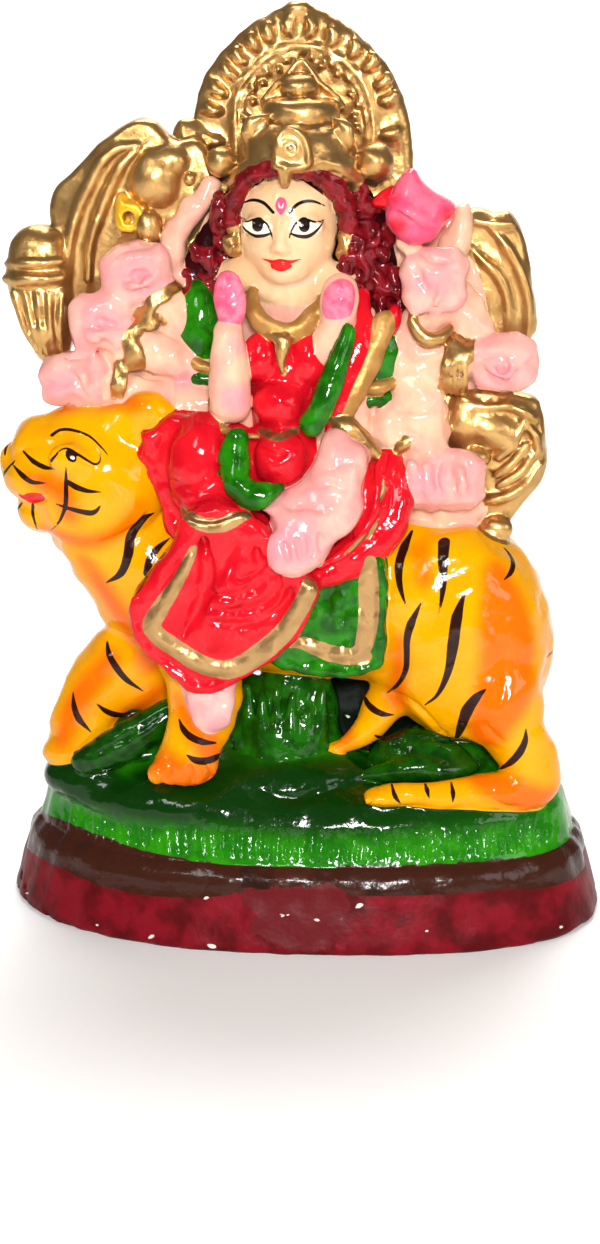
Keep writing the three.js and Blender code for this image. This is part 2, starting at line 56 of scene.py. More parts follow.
figureLow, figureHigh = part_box("durga_figure")
figureHeight = 300.9  # millimetres over all
millimetre = (figureHigh.z - figureLow.z) / figureHeight  # metres in one millimetre of the model
rimHeight = 28.0  # the plinth block's rim, from which the figure's heights count

casting = {
    "cell": 0.62,  # distance between samples of the plaster
    "quickCell": 1.0,
    "faces": 100000,  # triangles kept before paint edges are refined
    "paintEdge": 1.3,  # longest edge where two paints meet
    "inkEdge": 0.6,  # longest edge along fine brush strokes
    "slack": 1.4,  # how much longer than that an edge may be before it is cut
    "reach": ((-103.0, 103.0), (-49.5, 49.5), (-1.5, 302.5)),
    "ropeSteps": 48,  # most stretches that a rope is worked out in
}

camera = {
    "lens": 65.6,
    "pitch": 16.0,
    "turn": 4.0,
    "sensor": 36.0,
    "distance": 760.0,
    "target": (-1.0, 0.0, 100.0),
    "picture": (600, 1244),
}


def addObject(name, data):
    made = bpy.data.objects.new(name, data)
    bpy.context.scene.collection.objects.link(made)
    return made


# Camera first, because brush strokes are aimed along the photograph's own lines of sight
def placeCamera():
    pitch, turn = math.radians(camera["pitch"]), math.radians(camera["turn"])
    forward = Vector((-math.sin(turn) * math.cos(pitch), math.cos(turn) * math.cos(pitch), -math.sin(pitch)))
    right = Vector((math.cos(turn), math.sin(turn), 0))
    up = right.cross(forward)
    place = Vector(camera["target"]) - forward * camera["distance"]
    data = bpy.data.cameras.new("photographCamera")
    data.lens = camera["lens"]
    data.sensor_width = camera["sensor"]
    data.clip_end = 20
    viewer = addObject("photographCamera", data)
    axes = Matrix((right, up, -forward)).transposed().to_4x4()
    viewer.matrix_world = Matrix.Translation(place * millimetre) @ axes
    bpy.context.scene.camera = viewer
    return place, right, up, forward


eye, eyeRight, eyeUp, eyeForward = placeCamera()
pixelSize = 0.335  # millimetres that one pixel of the photograph covers on the figure


def sightLine(px, py):
    # direction from the camera through a pixel of the photograph
    focal = camera["lens"] / camera["sensor"] * camera["picture"][1]
    across, over = (px - camera["picture"][0] / 2) / focal, (camera["picture"][1] / 2 - py) / focal
    return (eyeForward + eyeRight * across + eyeUp * over).normalized()


# Building blocks: each form is a dictionary, and distance() says how far a place is from its surface
def pathLength(points):
    return sum(math.dist(a, b) for a, b in zip(points, points[1:]))


def widthsAlong(widths, count, unit):
    # half the width at even steps along a stroke
    return np.interp(np.linspace(0, 1, count), np.linspace(0, 1, len(widths)), widths) * unit / 2


def polygonDistance(u, v, corners):
    far = np.full(np.broadcast(u, v).shape, 1e9, np.float32)
    inside = np.zeros(far.shape, bool)
    corners = np.asarray(corners, np.float32)
    for (au, av), (bu, bv) in zip(corners, np.roll(corners, -1, axis=0)):
        eu, ev, wu, wv = bu - au, bv - av, u - au, v - av
        t = np.clip((wu * eu + wv * ev) / (eu * eu + ev * ev + 1e-9), 0, 1)
        far = np.minimum(far, (wu - eu * t) ** 2 + (wv - ev * t) ** 2)
        if bv != av:
            inside ^= ((av > v) != (bv > v)) & (u < eu * wv / ev + au)
    far = np.sqrt(far)
    return np.where(inside, -far, far)


def spline(a, b, c, d, f):
    # a smooth way from b to c that heeds the points before and after
    return 0.5 * (2 * b + (c - a) * f + (2 * a - 5 * b + 4 * c - d) * f ** 2
                  + (3 * b - a - 3 * c + d) * f ** 3)


def smoothPath(stations, steps):
    p = np.array(stations, float)
    ends = np.vstack([2 * p[0] - p[1], p, 2 * p[-1] - p[-2]])
    t = np.linspace(0, len(p) - 1, steps)
    i = np.minimum(t.astype(int), len(p) - 2)
    f = (t - i)[:, None]
    return spline(ends[i], ends[i + 1], ends[i + 2], ends[i + 3], f)


def smoothLoop(points, steps):
    p = np.array(points, float)
    t = np.arange(steps) * len(p) / steps
    i = t.astype(int)
    f = (t - i)[:, None]
    a, b, c, d = (p[(i + shift) % len(p)] for shift in (-1, 0, 1, 2))
    return spline(a, b, c, d, f)


def makeForm(kind, paint, low, high, blend, cut, **own):
    # what every form has, beside its own values
    return {"kind": kind, "paint": paint, "low": low, "high": high, "blend": blend, "cut": cut, **own}


def ball(paint, centre, sizes, turn=(0, 0, 0), blend=None, cut=False):
    x, y, z = centre
    spin = np.array(Euler([math.radians(a) for a in turn], "XYZ").to_matrix(), np.float32)
    middle = np.array([x, y, z + rimHeight], np.float32)
    reach = np.abs(spin) @ np.array(sizes)
    return makeForm("ball", paint, middle - reach, middle + reach, blend, cut, middle=middle, sizes=sizes,
                    spin=spin)


def rope(paint, stations, depth=1.0, blend=None, cut=False, ridges=0, bite=0.1, steps=None):
    # a rounded rope through stations of place and radius, perhaps with ridges along it
    length = pathLength([station[:3] for station in stations])
    thin = min(station[3] for station in stations)
    if steps is None:
        steps = max(len(stations), int(min(casting["ropeSteps"], 2 + length / max(1.2, thin * 0.6))))
    if ridges:
        steps = max(steps, ridges * 4)
    points = smoothPath(stations, steps)
    points[:, 2] += rimHeight
    points[:, 3] = np.maximum(points[:, 3], 0.05)
    thick = points[:, 3].max() * (1 + bite * (ridges > 0))
    return makeForm("rope", paint, points[:, :3].min(0) - thick, points[:, :3].max(0) + thick, blend, cut,
                    points=points.astype(np.float32), depth=depth, ridges=ridges, bite=bite)


def slab(paint, outline, front, back, edge=1.5, puff=0.0, tilt=0.0, points=None, blend=None, cut=False):
    # a plate cut to an outline seen from the front; tilt sets it further back as it rises
    loop = smoothLoop(outline, points or 3 * len(outline))
    loop[:, 1] += rimHeight
    (lowX, lowZ), (highX, highZ) = loop.min(0), loop.max(0)
    shift = abs(tilt) * (highZ - lowZ) / 2
    low, high = np.array([lowX, front - puff - shift, lowZ]), np.array([highX, back + shift, highZ])
    return makeForm("slab", paint, low, high, blend, cut, loop=loop, front=front, back=back, edge=edge,
                    puff=puff, tilt=tilt, middleZ=(lowZ + highZ) / 2)


def turned(paint, axis, profile, blend=None):
    # a round form on an upright axis; the profile's points are radius and height
    loop = np.array(profile, float)
    loop[:, 1] += rimHeight
    wide = loop[:, 0].max()
    (x, y), heights = axis, loop[:, 1]
    low, high = np.array([x - wide, y - wide, heights.min()]), np.array([x + wide, y + wide, heights.max()])
    return makeForm("turned", paint, low, high, blend, False, axis=axis, loop=loop)


def band(paint, centre, along, radius, width, thick, ridges=0, blend=None):
    # a ring of flat metal round an axis, with ridges round it
    way = np.array(Vector(along).normalized(), np.float32)
    middle = np.array([centre[0], centre[1], centre[2] + rimHeight], np.float32)
    reach = radius + thick + width / 2
    return makeForm("band", paint, middle - reach, middle + reach, blend, False, middle=middle, way=way,
                    radius=radius, half=width / 2, thick=thick, ridges=ridges)


def rounded(a, b, edge):
    # distance to the corner of two sides that are a and b away, rounded off
    a, b = a + edge, b + edge
    return np.minimum(np.maximum(a, b), 0) + np.hypot(np.maximum(a, 0), np.maximum(b, 0)) - edge


def ballDistance(form, x, y, z):
    dx, dy, dz = x - form["middle"][0], y - form["middle"][1], z - form["middle"][2]
    outer, inner = 0, 0
    for axis, size in zip(form["spin"].T, form["sizes"]):
        along = (axis[0] * dx + axis[1] * dy + axis[2] * dz) / np.float32(size)
        outer = outer + along ** 2
        inner = inner + (along / np.float32(size)) ** 2
    outer, inner = np.sqrt(outer), np.sqrt(inner)
    return outer * (outer - 1) / np.maximum(inner, np.float32(1e-4))


def stretchDistance(form, i, x, y, z):
    # distance to the stretch of a rope between two of its points
    (ax, ay, az, ar), (bx, by, bz, br) = form["points"][i], form["points"][i + 1]
    ex, ey, ez = bx - ax, by - ay, bz - az
    length = ex * ex + ey * ey + ez * ez + np.float32(1e-6)
    dx, dy, dz = x - ax, y - ay, z - az
    h = np.clip((dx * ex + dy * ey + dz * ez) / length, 0, 1)
    qx, qy, qz = dx - h * ex, (dy - h * ey) / np.float32(form["depth"]), dz - h * ez
    radius = ar + h * (br - ar)
    if form["ridges"]:
        share = (i + h) / (len(form["points"]) - 1)
        radius = radius * (1 - form["bite"] * np.cos(2 * np.pi * form["ridges"] * share))
    return np.sqrt(qx * qx + qy * qy + qz * qz) - radius


def slabDistance(form, x, y, z):
    flat = polygonDistance(x, z, form["loop"])
    half = (form["back"] - form["front"]) / 2
    middle = (form["back"] + form["front"]) / 2 + form["tilt"] * (z - form["middleZ"])
    if form["puff"]:
        swell = form["puff"] * (1 - np.exp(np.minimum(flat, 0) / 4))
        half, middle = half + swell / 2, middle - swell / 2
    return rounded(flat, np.abs(y - middle) - half, form["edge"])


def turnedDistance(form, x, y, z):
    return polygonDistance(np.hypot(x - form["axis"][0], y - form["axis"][1]), z, form["loop"])


def bandDistance(form, x, y, z):
    dx, dy, dz = x - form["middle"][0], y - form["middle"][1], z - form["middle"][2]
    wx, wy, wz = form["way"]
    along = dx * wx + dy * wy + dz * wz
    reach = np.sqrt(np.maximum(dx * dx + dy * dy + dz * dz - along * along, 0))
    thick = form["thick"]
    if form["ridges"]:
        thick = thick * (1 + 0.35 * np.cos(2 * np.pi * form["ridges"] * along / form["half"]))
    return rounded(np.abs(along) - form["half"], np.abs(reach - form["radius"]) - thick, 0.6)


def distance(form, x, y, z):
    if form["kind"] == "rope":
        stretches = range(len(form["points"]) - 1)
        return np.min([stretchDistance(form, i, x, y, z) for i in stretches], axis=0)
    ways = {"ball": ballDistance, "slab": slabDistance, "turned": turnedDistance,
            "plinth": plinthDistance, "band": bandDistance}
    return ways[form["kind"]](form, x, y, z)


# The plinth: its plan as in the model, then bands up its side
plinth = {
    "halfLength": 102.0,
    "front": 61.0,
    "back": 35.0,
    "leftCorner": 0.93,
    "rightCorner": 0.72,
    "backCorner": 0.8,
    "bands": {  # how far the side draws in, and its height over the block's underside
        "maroon": [(1.2, 0), (0, 1.5), (4.4, 16.8), (5.3, 20.0), (60, 20.0), (60, 0)],
        "umber": [(5.2, 18.6), (5.3, 21.2), (6.3, 24.2), (8.6, 26.9), (12, 28.4), (60, 28.4), (60, 18.6)],
        "grass": [(9.6, 27.2), (10.2, 30), (13, 40.1), (17, 46), (23, 49), (31, 50), (60, 50), (60, 27.2)],
    },
    "chips": 84,  # broken bits along the foot
    "endChips": 30,  # those of them at the left end, which has lost most
    # grass blades pressed into the front slope, between two heights over the block's underside
    "ticks": {"pitch": 2.95, "rows": 2.6, "depth": 1.3, "from": 28.5, "to": 40.5},
}


def plinthOutline(count=120):
    points = []
    for i in range(count):
        c, s = math.cos(2 * math.pi * i / count), math.sin(2 * math.pi * i / count)
        blend = 0.5 + 0.5 * c
        corner = plinth["backCorner"]
        if s < 0:
            corner = plinth["leftCorner"] + (plinth["rightCorner"] - plinth["leftCorner"]) * blend
        reach = plinth["front"] if s < 0 else plinth["back"]
        points.append((math.copysign(plinth["halfLength"] * abs(c) ** corner, c),
                       math.copysign(reach * abs(s) ** corner, s) + (plinth["front"] - plinth["back"]) / 2))
    return points


plinthPlan = plinthOutline()


def plinthDistance(form, x, y, z):
    inset = -polygonDistance(x, y, plinthPlan)
    found = polygonDistance(inset, z, form["loop"])
    if form["paint"] == "grass":
        ticks = plinth["ticks"]
        along = x + 0.5 * np.sin(x / 9) + 0.3 * np.sin(z / 2.2 + x / 15)
        blade = (0.5 + 0.5 * np.cos(2 * np.pi * along / ticks["pitch"])) ** 3
        row = 0.5 + 0.5 * np.cos(2 * np.pi * (z - 2 + 0.3 * np.sin(x / 7)) / ticks["rows"])
        slope = (np.clip((z - ticks["from"]) / 1.5, 0, 1) * np.clip((ticks["to"] - z) / 2.5, 0, 1)
                 * np.clip((-y - 8) / 12, 0, 1))
        found = found + ticks["depth"] * slope * np.maximum(blade, 0.4 * (1 - row)) * (0.5 + 0.5 * row)
    return found


def makePlinth():
    bands = []
    wide, deep = plinth["halfLength"], (plinth["front"] + plinth["back"]) / 2
    for paint, loop in plinth["bands"].items():
        heights = [height for _, height in loop]
        low, high = np.array([-wide, -deep, min(heights)]), np.array([wide, deep, max(heights)])
        bands.append(makeForm("plinth", paint, low, high, 0.5, False, loop=loop))
    chance = np.random.default_rng(5)
    for chip in range(plinth["chips"]):
        if chip < plinth["endChips"]:
            angle = math.pi * chance.uniform(0.97, 1.15)
            height, size = chance.uniform(-28, 1), chance.uniform(0.9, 2.6)
        else:
            angle = math.pi * chance.uniform(1.0, 2.0)
            height, size = chance.uniform(-29, -27), chance.uniform(0.6, 1.9)
        share = int(angle / (2 * math.pi) * len(plinthPlan)) % len(plinthPlan)
        x, y = plinthPlan[share]
        bands.append(ball("maroon", [x + size * 0.2 * np.sign(x), y - size * 0.2, height],
                          [size * chance.uniform(1, 2.2), size * 0.8, size], blend=0.5, cut=True))
    bands += [
        rope("maroon", [[13.2, -48.0, -29, 1.1], [12.3, -47.4, -21, 0.9], [15.8, -46, -14.2, 1.1],
                        [17.5, -44.2, -8.5, 0.9], [18.4, -43.4, -4, 0.5]], cut=True, blend=0.5),
        rope("maroon", [[18.0, -43.4, -5, 0.6], [9, -43.6, -6.6, 0.5], [0, -43.8, -5.4, 0.7],
                        [-7, -43.8, -8.6, 0.4]], cut=True, blend=0.5),
    ]
    for x, y, z, wide, tall in ((5, -47.0, -13, 8, 4.2), (-5, -47.2, -14.6, 6, 3.4), (7, -49.4, -22, 4, 4),
                                (-10, -49.8, -24, 6, 2.4), (20, -48.6, -19, 5, 2)):  # peeled hollows
        bands.append(ball("maroon", [x, y, z], [wide, 2.2, tall], [0, 12, 0], blend=0.8, cut=True))
    return bands


undergrowth = {"blades": 10, "bladeSize": 2.9}  # the clump beneath the belly


def makeLeaf(paint, points, thick):
    # a fleshy leaf lying against the ground, with its midrib pressed in
    count = len(points)
    swell = [0.45 + 0.55 * math.sin(math.pi * (i + 0.6) / (count + 0.4)) for i in range(count)]
    rib = [[x, y - thick * wide * 0.82, z + thick * wide * 0.45, 0.5]
           for (x, y, z), wide in zip(points, swell)]
    return [rope(paint, [[*p, thick * wide] for p, wide in zip(points, swell)], depth=0.8, blend=1.0),
            rope(paint, rib, cut=True, blend=1.2)]


def makeUndergrowth():
    forms = [
        rope("leaf", [[-4, -4, 20, 17], [-3, -3, 46, 14]], depth=0.75),
        ball("leaf", [-18, -2, 38], [8, 9, 16]),
        ball("leaf", [-56, -2, 28], [16, 12, 18]),
        ball("leaf", [48, 2, 24], [22, 10, 12]),
        # painted shadow: a near-black pocket under the belly stands in for the shade in the gap there
        ball("pit", [15, 6, 36], [24, 9, 17]),
        ball("leaf", [14, 16, 30], [34, 8, 26]),
        ball("grass", [-28, -5, 14], [52, 28, 13.5], blend=6),
        ball("grass", [-71, -6, 19], [17, 15, 9.4], blend=4),
        ball("grass", [-6, -9, 21.5], [32, 18, 11], blend=6),
    ]
    for i in range(undergrowth["blades"]):  # upright leaves under the belly
        share = i / (undergrowth["blades"] - 1)
        x, size = -19 + 25 * share, undergrowth["bladeSize"]
        lean = (share - 0.4) * 5 + (i % 3 - 1) * 1.8
        front = -17.0 + 6 * (share - 0.5) ** 2 * 4
        tall = 47 + (i * 5 % 7)
        forms.append(rope("leaf", [[x, front - 2.6, 25, size * 0.9], [x + lean * 0.3, front - 1.2, 34, size],
                                   [x + lean * 0.7, front + 0.6, 42, size * 0.8],
                                   [x + lean, front + 2.4, tall, size * 0.4]],
                          depth=0.8, blend=1.2))
    forms += makeLeaf("deepLeaf", [[-72, -19, 27.5], [-64, -19.5, 31], [-54, -18.5, 37], [-43.5, -17, 44.4]],
                      6.6)
    forms += [
        rope("deepLeaf", [[25, -8, 25, 4.0], [32, -8.5, 27.7, 8.4], [39.3, -10, 28.8, 9.6],
                          [48.4, -12.5, 28, 7.4], [57, -13, 27, 3.0]], depth=0.8, blend=2),
        rope("deepLeaf", [[24, -17, 24.4, 2.4], [33.7, -18.4, 26.6, 4.0], [46, -18.6, 27, 4.0],
                          [55, -16, 26.4, 2.0]], depth=0.8, blend=2),
        rope("deepLeaf", [[30, -16.4, 29.6, 0.5], [38, -18, 31.4, 0.9], [48, -17.4, 30.6, 0.5]], blend=1.0),
    ]
    return forms


def makeTiger():
    t = "tiger"
    forms = [
        rope(t, [[-46, -1, 86, 24], [-8, 0, 81, 26.5], [26, 0, 80, 27.5], [48, 0, 78, 29]], depth=0.82),
        ball(t, [52.4, 0, 69.5], [31, 25, 37], [0, -13, 0]),  # rump
        rope(t, [[-44, -2, 84, 23], [-56, -3, 96, 21], [-64, -5, 106, 19]], depth=0.88),  # neck
        rope(t, [[52, 22, 96, 7], [70, 20, 84, 7], [76, 15, 62, 6], [70, 16, 44, 5]], blend=2),  # tail
        rope(t, [[-36, -14, 78, 15], [-30.5, -24, 53, 12.2], [-33, -28.6, 42.5, 10.0],
                 [-35.6, -30.5, 34.6, 9.2]]),  # near leg
        rope(t, [[-48, 2, 64, 15], [-62, 0, 55, 14], [-70, -2, 44, 12.3], [-74, -4, 35, 11.5],
                 [-77, -5, 28, 9.6]]),
        ball(t, [53, -13, 72], [25, 14, 35], [0, -14, 0]),  # near haunch
        ball(t, [52, 13, 70], [24, 13, 34], [0, -14, 0]),
        rope(t, [[64, -15, 52, 15], [71.5, -14, 39, 10.4], [77, -13, 26, 9.8]]),
        rope(t, [[77, -14, 20.5, 8.5], [62, -20.5, 20.4, 6.4], [47, -25.5, 21.2, 4.3],
                 [31, -28.6, 21.8, 3.4]], blend=3),
        rope(t, [[41, 4, 62, 12.5], [28, -5, 46, 7.4], [22.6, -9, 39, 4.9], [17, -11, 34, 3.2],
                 [11.4, -12, 31, 1.9]], blend=3),
        rope(t, [[62, 15, 46, 12], [70, 14, 24, 9], [48, 17, 21, 6]]),
        ball(t, [-78, -7, 27], [10.4, 9, 6], blend=3),  # far paw
        ball(t, [-36.6, -31.6, 31.8], [10.4, 9.2, 6.2], blend=3),  # near paw
        ball(t, [-53, -2, 54], [12, 10, 15], blend=5),
        ball(t, [27.5, -29, 21.4], [6.0, 4.6, 3.2], blend=2),
    ]
    for x, y, z, size, count in ((-40.6, -35.0, 30.2, 3.9, 4), (24, -30.5, 21, 2.2, 3)):  # toes
        for toe in range(count):
            step = toe - (count - 1) / 2
            forms.append(ball(t, [x + step * size * 1.15 + 2, y - 2 + 0.5 * abs(step), z],
                              [size * 0.66, size * 0.9, size * 0.85], blend=0.9))
    for y in (-11, 8):  # lower jaw ruffs
        forms.append(ball(t, [-69, y, 112], [15, 11, 13], [0, 10, 0], blend=3))
    return forms


def makeTigerHead():
    t = "tiger"
    return [
        ball(t, [-67, -5, 122], [25, 20, 23]),  # skull and cheeks, one round disc
        ball(t, [-66, -14, 119], [21, 12, 20], blend=3),
        ball(t, [-82.6, -6, 132], [13, 13, 11], blend=4),  # brow
        ball(t, [-70, -6, 139], [13, 12, 8], blend=3),
        ball(t, [-88, -7, 123], [10, 12.5, 9], [0, 12, 0], blend=3),  # muzzle
        ball(t, [-95, -6, 126.8], [4.2, 5, 5.4], blend=3),  # nose
        ball(t, [-84, -6, 111.4], [10, 11, 8.2], blend=2),  # jaw
        ball(t, [-73, -23.5, 131.5], [7, 3.6, 5], [0, 10, 0], blend=3),  # eye
        ball(t, [-54, -11, 139.5], [13, 8, 8.5], [0, 8, 0], blend=3),  # nape
        ball(t, [-48.5, -14.5, 145], [8.5, 5.5, 7.2], [0, 14, 0], blend=2),
        ball(t, [-53, 7, 140], [8, 6, 8], [0, 20, 0], blend=4),
        rope(t, [[-97, -7, 113.4, 0.5], [-93, -13, 113.6, 0.8], [-86, -18, 112.4, 0.5]], cut=True, blend=1.6),
    ]


saddle = {"outline": [[-10, 80], [-8, 95], [6.6, 96.1], [14.5, 96.9], [20, 100.8], [23.5, 102.5],
                      [26.7, 100.9], [28.6, 94], [28.2, 82], [28.3, 69.7], [25.8, 64.5], [20.3, 62.4],
                      [12.8, 61.6], [4.1, 62.7], [-4.6, 64.5], [-12, 68]],
          "front": -27.5, "back": -12.0}


def makeSaddle():
    rim = saddle["outline"][4:16]
    return [slab("green", saddle["outline"], saddle["front"], saddle["back"], edge=2.4, puff=0.6),
            rope("green", [[x - 1.2 * (x > 20), saddle["front"] + 0.6, z + 1.3 * (z < 70), 1.7]
                           for x, z in rim], blend=1.2)]



def makeBody():
    r, s = "red", "skin"
    return [
        ball(r, [0, -4, 118], [30, 20, 18]),  # hips
        rope(r, [[-4, 1.5, 126, 16], [-4, 2, 142, 15], [-4, 1.5, 156, 17], [-4, 1, 167, 15]], depth=0.85,
             blend=2),
        ball(r, [-3, 2, 140], [29, 11, 19], blend=2),  # the cloth over the back
        rope(s, [[-4, 0, 172, 16], [-4, -1, 160, 17]], depth=0.85, blend=4),
        rope(s, [[-27, 2, 172, 9], [-4, 1, 178, 10], [20, 2, 171, 9]], blend=4),  # shoulders
        rope(s, [[-3, -3, 176, 11], [-3, -5, 192, 10]], blend=4),
        rope(s, [[12, -8, 134, 12], [12, -8, 150, 11]], blend=2),
        rope(s, [[-18, -6, 140, 12], [-20, -4, 156, 9]], blend=2),
        rope(r, [[-4.5, -14, 126, 12], [-4.5, -13.5, 146, 11], [-4.5, -11, 160, 12.5]], depth=0.85, blend=1),
        ball(r, [-12.4, -17, 163.5], [6.2, 6.4, 8.6], [0, 4, 0], blend=1),
        ball(r, [3.4, -17, 163], [6.4, 6.4, 8.8], [0, -4, 0], blend=1),
        ball(r, [-6.5, -20.5, 149.5], [8.4, 6.6, 7.6], blend=1.5),
        ball(r, [-5.5, -24, 132.5], [8.6, 8, 9.5], blend=1.5),
        rope(r, [[-12, -26.5, 145, 0.7], [-6, -28, 143.6, 0.9], [1, -26, 145, 0.7]], cut=True, blend=1),
        rope(r, [[-12, -27.5, 136.4, 0.7], [-5.5, -31, 135.4, 0.9], [1, -28, 136.6, 0.7]], cut=True, blend=1),
        rope(r, [[-14.5, -23.5, 166, 0.5], [-12.8, -24, 156, 0.6], [-11, -26, 150, 0.4]], cut=True,
             blend=0.8),
        rope(r, [[5.8, -23.5, 166, 0.5], [4, -24, 156, 0.6], [1, -25.6, 150, 0.4]], cut=True, blend=0.8),
    ]


necklace = {"width": 3.2}


def makeNecklace():
    wide = necklace["width"]
    return [
        rope("dullGold", [[-15.2, -13, 183.6, wide * 0.6], [-14.8, -15.6, 179.4, wide * 0.9],
                          [-12, -18, 175.2, wide], [-6.4, -19.4, 172.6, wide], [-0.4, -19.0, 173, wide],
                          [3.6, -17, 176.8, wide], [7.4, -13.5, 182.4, wide * 0.5]], depth=0.55, blend=0.6),
        rope("gold", [[-10.4, -19.8, 171.4, 0.9], [-5.6, -21.6, 170.6, 1.7], [-1.2, -20, 171.2, 0.9]],
             blend=0.5),
        rope("gold", [[-5.3, -22, 169.6, 2.5], [-5.3, -22.8, 165.6, 1.9], [-5.2, -22.8, 160.2, 0.7]],
             depth=0.7, blend=0.5),
    ]


hair = {"curl": 2.9, "thick": 2.0, "perSide": 19, "locks": 8, "lockPitch": 6.6}


def makeCurls(path, count, seed, spread, size=1.0):
    # short curled tufts scattered down a lock over its dark core, which is painted near-black as the shade
    # between the tufts
    chance = np.random.default_rng(seed)
    core = rope("hairDark", [[x, y + 2.2, z, wide] for x, y, z, wide in path], depth=0.8, blend=1.5)
    route = smoothPath(path, count)
    forms = [core]
    for i, (x, y, z, wide) in enumerate(route):
        side = chance.uniform(-1, 1)
        x, z = x + side * (wide - 0.6) * spread, z + chance.uniform(-1.6, 1.6)
        y = y - 0.62 * wide * math.sqrt(max(0.1, 1 - side * side)) + chance.uniform(-0.5, 0.9)
        bend = hair["curl"] * size * chance.uniform(0.7, 1.2)
        start, hand = chance.uniform(0, 6.28), chance.choice((-1, 1))
        points = []
        for step in range(5):
            angle = start + hand * step * 0.85
            points.append([x + bend * math.cos(angle), y + 0.5 * bend * math.sin(angle * 0.7 + i),
                           z + bend * 1.15 * math.sin(angle), hair["thick"] * size * (1 - 0.09 * step)])
        forms.append(rope("hair", points, steps=9, blend=0.35))
    return forms


face = {"middle": -3.0, "eyeLevel": 205.0, "turn": -2.6}


def makeHead():
    x, aim = face["middle"], face["middle"] + face["turn"]
    return [
        ball("face", [x - 1.2, -3.0, 207], [16.0, 16.4, 18.5], blend=3),
        ball("face", [x - 1.6, -7.0, 199.0], [14.4, 12.4, 12.6], blend=4),  # cheeks and jaw
        ball("face", [x - 2.0, -14.4, 191.2], [6.8, 4.6, 4.2], blend=4),  # chin
        ball("face", [aim - 7.4, -16.6, face["eyeLevel"]], [5.2, 2.8, 3.3], blend=2.5),  # eyeballs
        ball("face", [aim + 7.4, -16.2, face["eyeLevel"]], [5.2, 2.8, 3.3], blend=2.5),
        rope("face", [[aim, -18.8, 207, 1.1], [aim - 0.2, -20.4, 201.6, 1.5], [aim - 0.3, -21.2, 198.8, 1.9]],
             blend=2.4),  # nose
        ball("face", [aim - 2.2, -19.8, 198.4], [1.2, 1.3, 1.1], blend=1.2),
        ball("face", [aim + 1.7, -19.8, 198.4], [1.2, 1.3, 1.1], blend=1.2),
        ball("face", [aim, -19.2, 194.4], [3.8, 1.5, 0.95], blend=1),  # lips
        ball("face", [aim, -18.9, 192.7], [3.1, 1.5, 1.1], blend=0.8),
        rope("face", [[x - 13, -6, 187.5, 4], [x, -9, 183, 6], [x + 13, -6, 187.5, 4]], blend=3),
        rope("face", [[x - 23, -2, 187, 4.5], [x - 17, -7.5, 189.4, 5.0], [x - 12, -8, 189, 5.5]], blend=3),
        rope("face", [[x + 20, -2, 186, 4.5], [x + 15, -7.5, 187.6, 5.0], [x + 11, -8, 188, 5.5]], blend=3),
    ]


def makeHair():
    x = face["middle"]
    forms = [
        # the masses under the hair are painted near-black as shade where the locks and curls part
        ball("hairDark", [x, 0, 216.5], [19.5, 15, 11], blend=1),
        ball("hairDark", [x, 7, 197], [29, 6, 26], blend=2),  # hair down the back
        rope("hair", [[-21.8, -7.5, 203, 2.6], [-21.2, -10, 212, 2.8], [-17.2, -13.5, 219, 2.8],
                      [-10.8, -16.8, 222.6, 2.8], [-4.2, -18.2, 223.4, 3.2], [3, -16.8, 222.4, 3.0],
                      [9.6, -13.5, 218.2, 3.2], [14.2, -10, 211, 3.4], [15.2, -8, 203, 2.8]],
             ridges=11, bite=0.09, blend=0.5),  # waves over the brow
    ]
    count = hair["perSide"]
    left = [[-21, -5, 214, 3.2], [-26, -4, 204, 4.6], [-31, -2, 193, 6.4], [-33.5, -1, 183, 6.0],
            [-33, -2, 177, 3.4]]
    right = [[16.5, -4, 215, 4.0], [20.5, -3, 205, 6.0], [23.5, -2, 193, 6.6], [25.5, -2, 184, 5.6],
             [27, -3, 177, 3.4]]
    inner = [[16, -9, 200, 2.4], [17, -9, 192, 2.8], [20, -8, 184, 2.6]]
    forms += makeCurls(left, count, 11, 0.9)
    forms += makeCurls(right, count + 4, 23, 0.9)
    forms += makeCurls(inner, 9, 31, 0.8, 0.85)
    for lock in range(hair["locks"]):  # plainer waving locks behind
        x0, fall = -26 + hair["lockPitch"] * lock, 172 + 2.4 * (lock % 2)
        forms.append(rope("hair", [[x0, 11.6, 208, 3.7], [x0 + 1.2, 12.4, 200, 3.9],
                                   [x0 - 1.2, 12.2, 191, 3.8], [x0 + 1.2, 12.2, 183, 3.5],
                                   [x0 - 0.4, 11.4, fall, 1.9]], depth=0.85, blend=0.5))
    for side, y, z in ((-1, -8.5, 0), (1, -8.5, -2.4)):  # earrings
        forms.append(ball("gold", [x + side * 17.6 - 0.5, y, 203.4 + z], [2.7, 2.2, 2.6], blend=0.5))
        forms.append(ball("gold", [x + side * 18.2 - 0.5, y - 0.5, 198.4 + z], [3.6, 2.6, 3.9], blend=0.5))
        forms.append(ball("gold", [x + side * 18.2 - 0.5, y - 3.0, 198.2 + z], [1.2, 1.0, 1.2], blend=0.3))
    return forms


crown = {"axis": (-1.6, -1.0), "brim": 19.4, "plateFront": -22.6}


